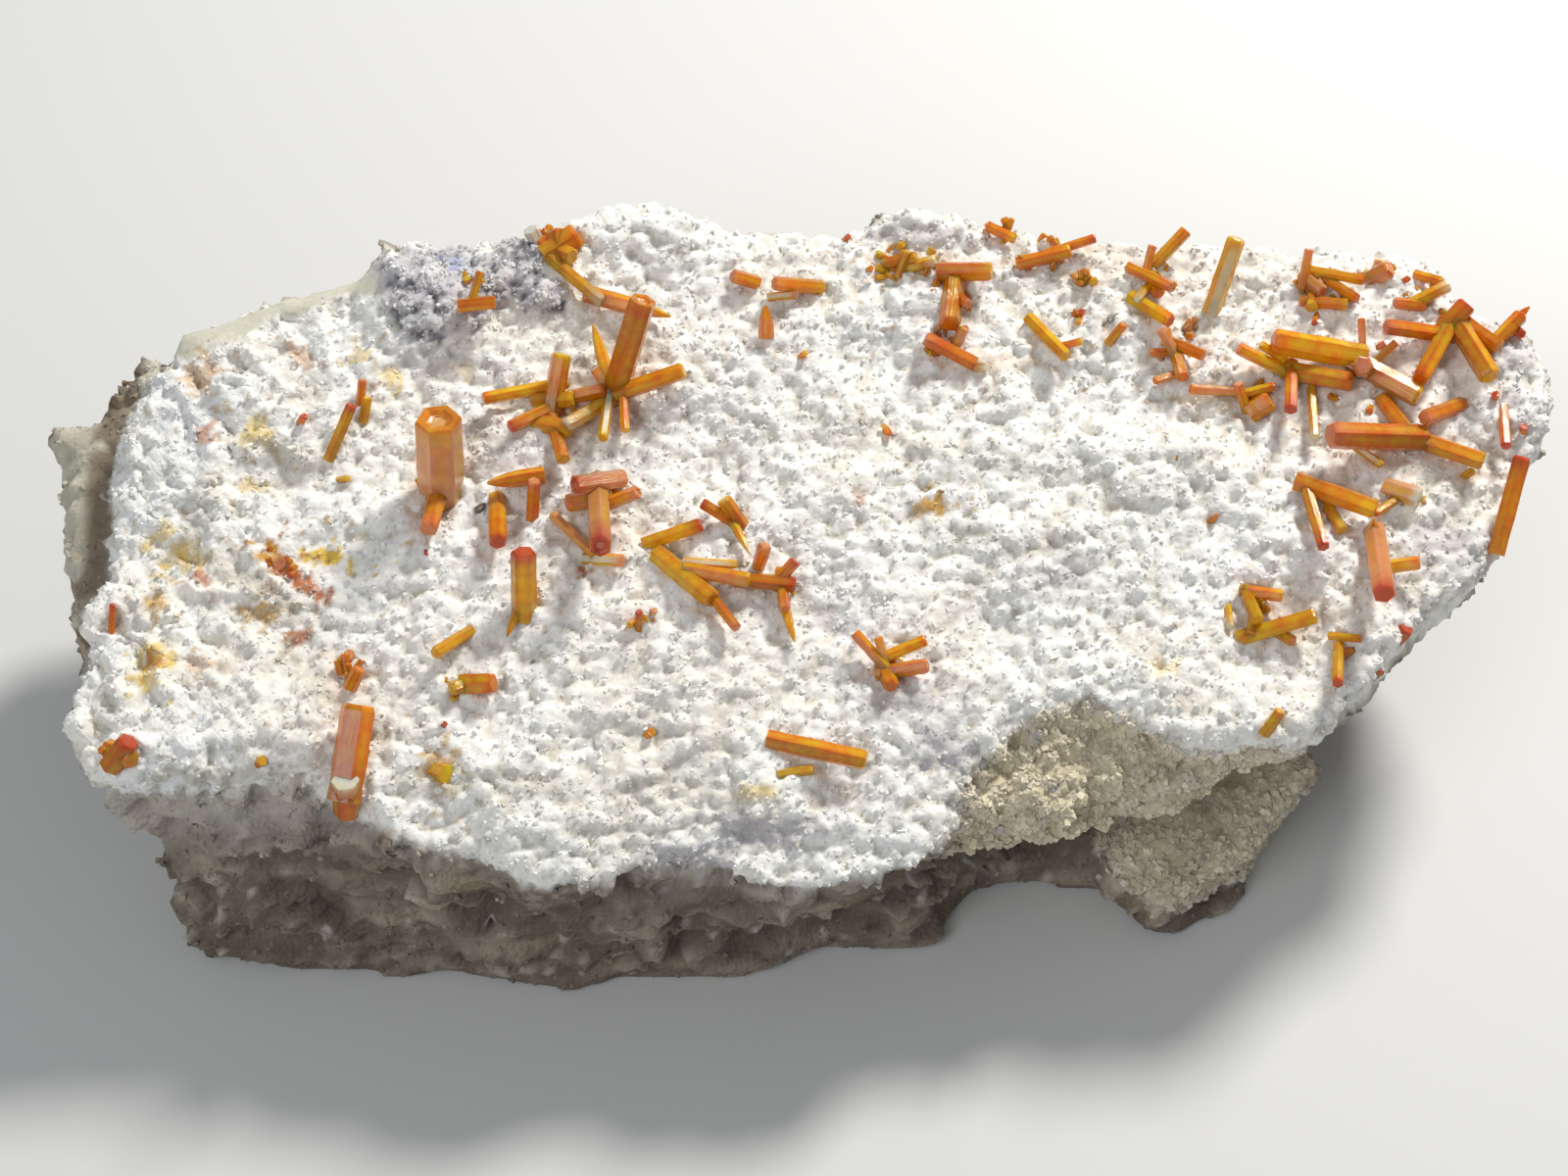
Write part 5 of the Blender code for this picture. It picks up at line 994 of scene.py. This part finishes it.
class Look:
    """A material in the making, with short ways to add its nodes."""

    def __init__(self, name):
        self.material = bpy.data.materials.new(name)
        self.material.use_nodes = True
        self.nodes = self.material.node_tree.nodes
        self.links = self.material.node_tree.links
        self.shader = self.nodes["Principled BSDF"]
        self.where = self.nodes.new("ShaderNodeTexCoord").outputs["Object"]

    def set(self, socket, value):
        self.shader.inputs[socket].default_value = value

    def attribute(self, name):
        made = self.nodes.new("ShaderNodeAttribute")
        made.attribute_name = name
        return made.outputs

    def noise(self, where, scale, detail):
        made = self.nodes.new("ShaderNodeTexNoise")
        made.inputs["Scale"].default_value = scale
        made.inputs["Detail"].default_value = detail
        self.links.new(where, made.inputs["Vector"])
        return made.outputs["Fac"]

    def cells(self, scale):
        made = self.nodes.new("ShaderNodeTexVoronoi")
        made.inputs["Scale"].default_value = scale
        self.links.new(self.where, made.inputs["Vector"])
        return made.outputs

    def scaled(self, where, scale):
        made = self.nodes.new("ShaderNodeMapping")
        made.inputs["Scale"].default_value = scale
        self.links.new(where, made.inputs["Vector"])
        return made

    def maths(self, kind, first, second):
        made = self.nodes.new("ShaderNodeMath")
        made.operation = kind
        for socket, value in zip(made.inputs, (first, second)):
            if isinstance(value, (int, float)):
                socket.default_value = value
            else:
                self.links.new(value, socket)
        return made.outputs[0]

    def plus(self, first, second):
        return self.maths("ADD", first, second)

    def minus(self, first, second):
        return self.maths("SUBTRACT", first, second)

    def times(self, first, second):
        return self.maths("MULTIPLY", first, second)

    def ranged(self, value, low, high):
        """A noise around its middle, stretched to this range."""
        made = self.nodes.new("ShaderNodeMapRange")
        made.inputs["From Min"].default_value = 0.3
        made.inputs["From Max"].default_value = 0.7
        made.inputs["To Min"].default_value = low
        made.inputs["To Max"].default_value = high
        self.links.new(value, made.inputs["Value"])
        return made.outputs["Result"]

    def paint(self, shade):
        """The painted colour, made darker and lighter by noises for red, green and blue."""
        shades = self.nodes.new("ShaderNodeCombineXYZ")
        for socket, value in zip(shades.inputs, shade):
            self.links.new(value, socket)
        mixed_in = self.nodes.new("ShaderNodeVectorMath")
        mixed_in.operation = "MULTIPLY"
        self.links.new(self.attribute("tint")["Color"], mixed_in.inputs[0])
        self.links.new(shades.outputs["Vector"], mixed_in.inputs[1])
        self.links.new(mixed_in.outputs["Vector"], self.shader.inputs["Base Color"])

    def bump(self, height, depth, strength):
        made = self.nodes.new("ShaderNodeBump")
        made.inputs["Strength"].default_value = strength
        made.inputs["Distance"].default_value = depth
        self.links.new(height, made.inputs["Height"])
        self.links.new(made.outputs["Normal"], self.shader.inputs["Normal"])

    def scatter(self, weight, radius, scale):
        """Light that goes in and comes out a little way off."""
        self.set("Subsurface Weight", weight)
        self.set("Subsurface Radius", radius)
        self.set("Subsurface Scale", scale)


def stone_material(name, bump_depth, subsurface):
    """Fine sugary grain over the painted colour, with a few glinting faces."""
    look = Look(name)
    waxy = look.attribute("waxy")["Fac"]
    flaky = look.attribute("flaky")["Fac"]
    broken = look.attribute("broken")["Fac"]
    grain = look.noise(look.where, STONE_GRAIN, 4.0)
    look.paint([look.ranged(grain, 0.90, 1.07)] * 3)
    glint = look.maths("GREATER_THAN", look.cells(STONE_GLINTS)["Color"], 0.84)
    rough = look.minus(look.times(glint, -0.5), look.times(waxy, 0.5))
    rough = look.maths("MAXIMUM", look.plus(rough, 0.86), 0.24)
    look.links.new(rough, look.shader.inputs["Roughness"])
    turned = look.scaled(look.where, (4.0, 1.0, 1.0))
    turned.vector_type = "TEXTURE"
    turned.inputs["Rotation"].default_value = (0.0, 0.0, math.radians(FLAKE_TURN_DEG))
    flakes = look.times(look.noise(turned.outputs["Vector"], STONE_FLAKES, 3.0), 3.5)
    height = look.minus(1.0, look.cells(STONE_CRUMBS)["Distance"])
    height = look.plus(height, look.times(grain, 0.8))
    height = look.plus(height, look.times(flakes, flaky))
    share = look.minus(1.0, look.times(waxy, 0.85))
    share = look.plus(share, look.times(broken, 1.6))
    look.bump(look.times(height, share), bump_depth, 0.55)
    look.scatter(subsurface, (1.0, 0.85, 0.65), 0.30 * MM)
    look.set("Specular IOR Level", 0.4)
    return look.material


def crystal_material():
    """Glassy orange prisms that let light through, with lengthwise striae, clouds and cross bands."""
    look = Look("vanadinite_look")
    layout = look.nodes.new("ShaderNodeUVMap")
    layout.uv_map = "grain"
    lengthwise = look.scaled(layout.outputs["UV"], STRIAE_SCALE).outputs["Vector"]
    crosswise = look.scaled(layout.outputs["UV"], BANDS_SCALE).outputs["Vector"]
    parts = look.nodes.new("ShaderNodeSeparateXYZ")
    look.links.new(look.attribute("tint")["Vector"], parts.inputs["Vector"])
    # the cross bands are yellower or redder, but not on white or pink
    orangeness = look.minus(1.0, look.maths("MINIMUM", look.times(parts.outputs["Z"], 4.0), 1.0))
    bands = look.times(look.ranged(look.noise(crosswise, 1.0, 3.0), -0.34, 0.40), orangeness)
    cloud = look.ranged(look.noise(look.where, CRYSTAL_CLOUDS, 4.0), 0.88, 1.06)
    look.paint([cloud, look.times(cloud, look.plus(bands, 1.0)), cloud])
    scratch = look.noise(look.where, CRYSTAL_SCRATCHES, 3.0)
    look.links.new(look.ranged(scratch, 0.06, 0.24), look.shader.inputs["Roughness"])
    height = look.plus(look.times(scratch, 0.35), look.noise(lengthwise, 1.0, 2.0))
    look.bump(height, CRYSTAL_BUMP, 0.6)
    look.set("Transmission Weight", 0.42)
    look.set("IOR", 1.55)
    look.set("Specular IOR Level", 0.34)
    look.scatter(0.6, (1.0, 0.5, 0.12), 0.5 * MM)
    return look.material


FLOOR_HALF = 1.2
FLOOR_GREY = (0.62, 0.62, 0.61, 1.0)
# Lamps: place, size, watts and colour
KEY = (0.11, 0.155, 0.20), 0.06, 0.88, (1.0, 0.975, 0.93)
FILL = (-0.20, -0.22, 0.26), 0.22, 0.46, (0.93, 0.96, 1.0)
SKY = (0.92, 0.94, 0.97, 1.0)
SKY_STRENGTH = 0.30
SENSOR_MM = 36.0
LAMPS_AIM = Vector((0.0, 0.0, 8.0)) * MM


def make_stage():
    mesh = bpy.data.meshes.new("floor")
    half = FLOOR_HALF
    corners = [(-half, -half, 0), (half, -half, 0), (half, half, 0), (-half, half, 0)]
    mesh.from_pydata(corners, [], [(0, 1, 2, 3)])
    floor = link(bpy.data.objects.new("floor", mesh))
    look = Look("pale_floor")
    look.set("Base Color", FLOOR_GREY)
    look.set("Roughness", 0.7)
    mesh.materials.append(look.material)


def add_area(name, place, size, watts, colour):
    lamp = bpy.data.lights.new(name, "AREA")
    lamp.shape = "DISK"
    lamp.size = size
    lamp.energy = watts
    lamp.color = colour
    item = link(bpy.data.objects.new(name, lamp))
    item.location = place
    item.rotation_euler = (LAMPS_AIM - Vector(place)).to_track_quat("-Z", "Y").to_euler()


def make_light():
    world = bpy.data.worlds.new("studio")
    bpy.context.scene.world = world
    world.use_nodes = True
    sky = world.node_tree.nodes["Background"]
    sky.inputs["Color"].default_value = SKY
    sky.inputs["Strength"].default_value = SKY_STRENGTH
    add_area("key", *KEY)
    add_area("fill", *FILL)


def make_camera():
    lens = bpy.data.cameras.new("camera")
    lens.sensor_width = SENSOR_MM
    lens.lens = FOCAL_PX * SENSOR_MM / (2.0 * MIDDLE_PX[0])
    lens.clip_start = 1.0 * MM
    item = link(bpy.data.objects.new("camera", lens))
    item.location = EYE
    item.rotation_euler = (math.radians(90.0 - EYE_ELEVATION_DEG), 0.0, 0.0)
    bpy.context.scene.camera = item


def dress(item, look, node):
    item.data.materials.append(look)
    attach(item, "root")
    if node:
        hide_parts(node)


def main():
    noise.seed_set(SEED)
    rng = random.Random(SEED)
    dice = np.random.default_rng(SEED)
    skin, zones = make_skin()
    rock = stone_material("rock_look", ROCK_BUMP, 0.18)
    grains_look = stone_material("grain_look", GRAINS_BUMP, 0.25)
    dress(skin, rock, "matrix")
    sugar_share = np.clip(zones.cavity + 0.8 * zones.knob, 0.0, 1.0)
    sugar = scattered("sugar_grains", skin, sugar_share, *SUGAR_GRAINS, dice)
    dress(sugar, grains_look, None)
    crust_share = zones.face * (1.0 - zones.rim) * (1.0 + 1.5 * zones.patch)
    crust = scattered("crust_grains", skin, crust_share, *CRUST_GRAINS, dice)
    dress(crust, grains_look, None)
    side_share = np.clip(zones.side + zones.layer, 0.0, 1.0) * soft(zones.upward, -0.75, -0.4)
    chips = scattered("flank_chips", skin, side_share, *FLANK_CHIPS, dice)
    dress(chips, grains_look, None)
    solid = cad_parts["matrix"].data
    corners = [v.co for v in solid.vertices]
    tree = BVHTree.FromPolygons(corners, [list(f.vertices) for f in solid.polygons])
    glassy = crystal_material()
    for name, rows in CRYSTALS.items():
        bm = blank_crystals()
        add_rows(bm, rows, tree, rng)
        dress(finished("look_" + name, bm), glassy, name)
    bm = blank_crystals()
    add_rows(bm, TINY, tree, rng)
    add_druses(bm, tree, rng)
    dress(finished("small_crystals", bm), glassy, None)
    make_stage()
    make_light()
    make_camera()
    bpy.context.scene.view_settings.view_transform = "Standard"
    bpy.context.scene.view_settings.look = "None"


main()
bpy.context.view_layer.update()
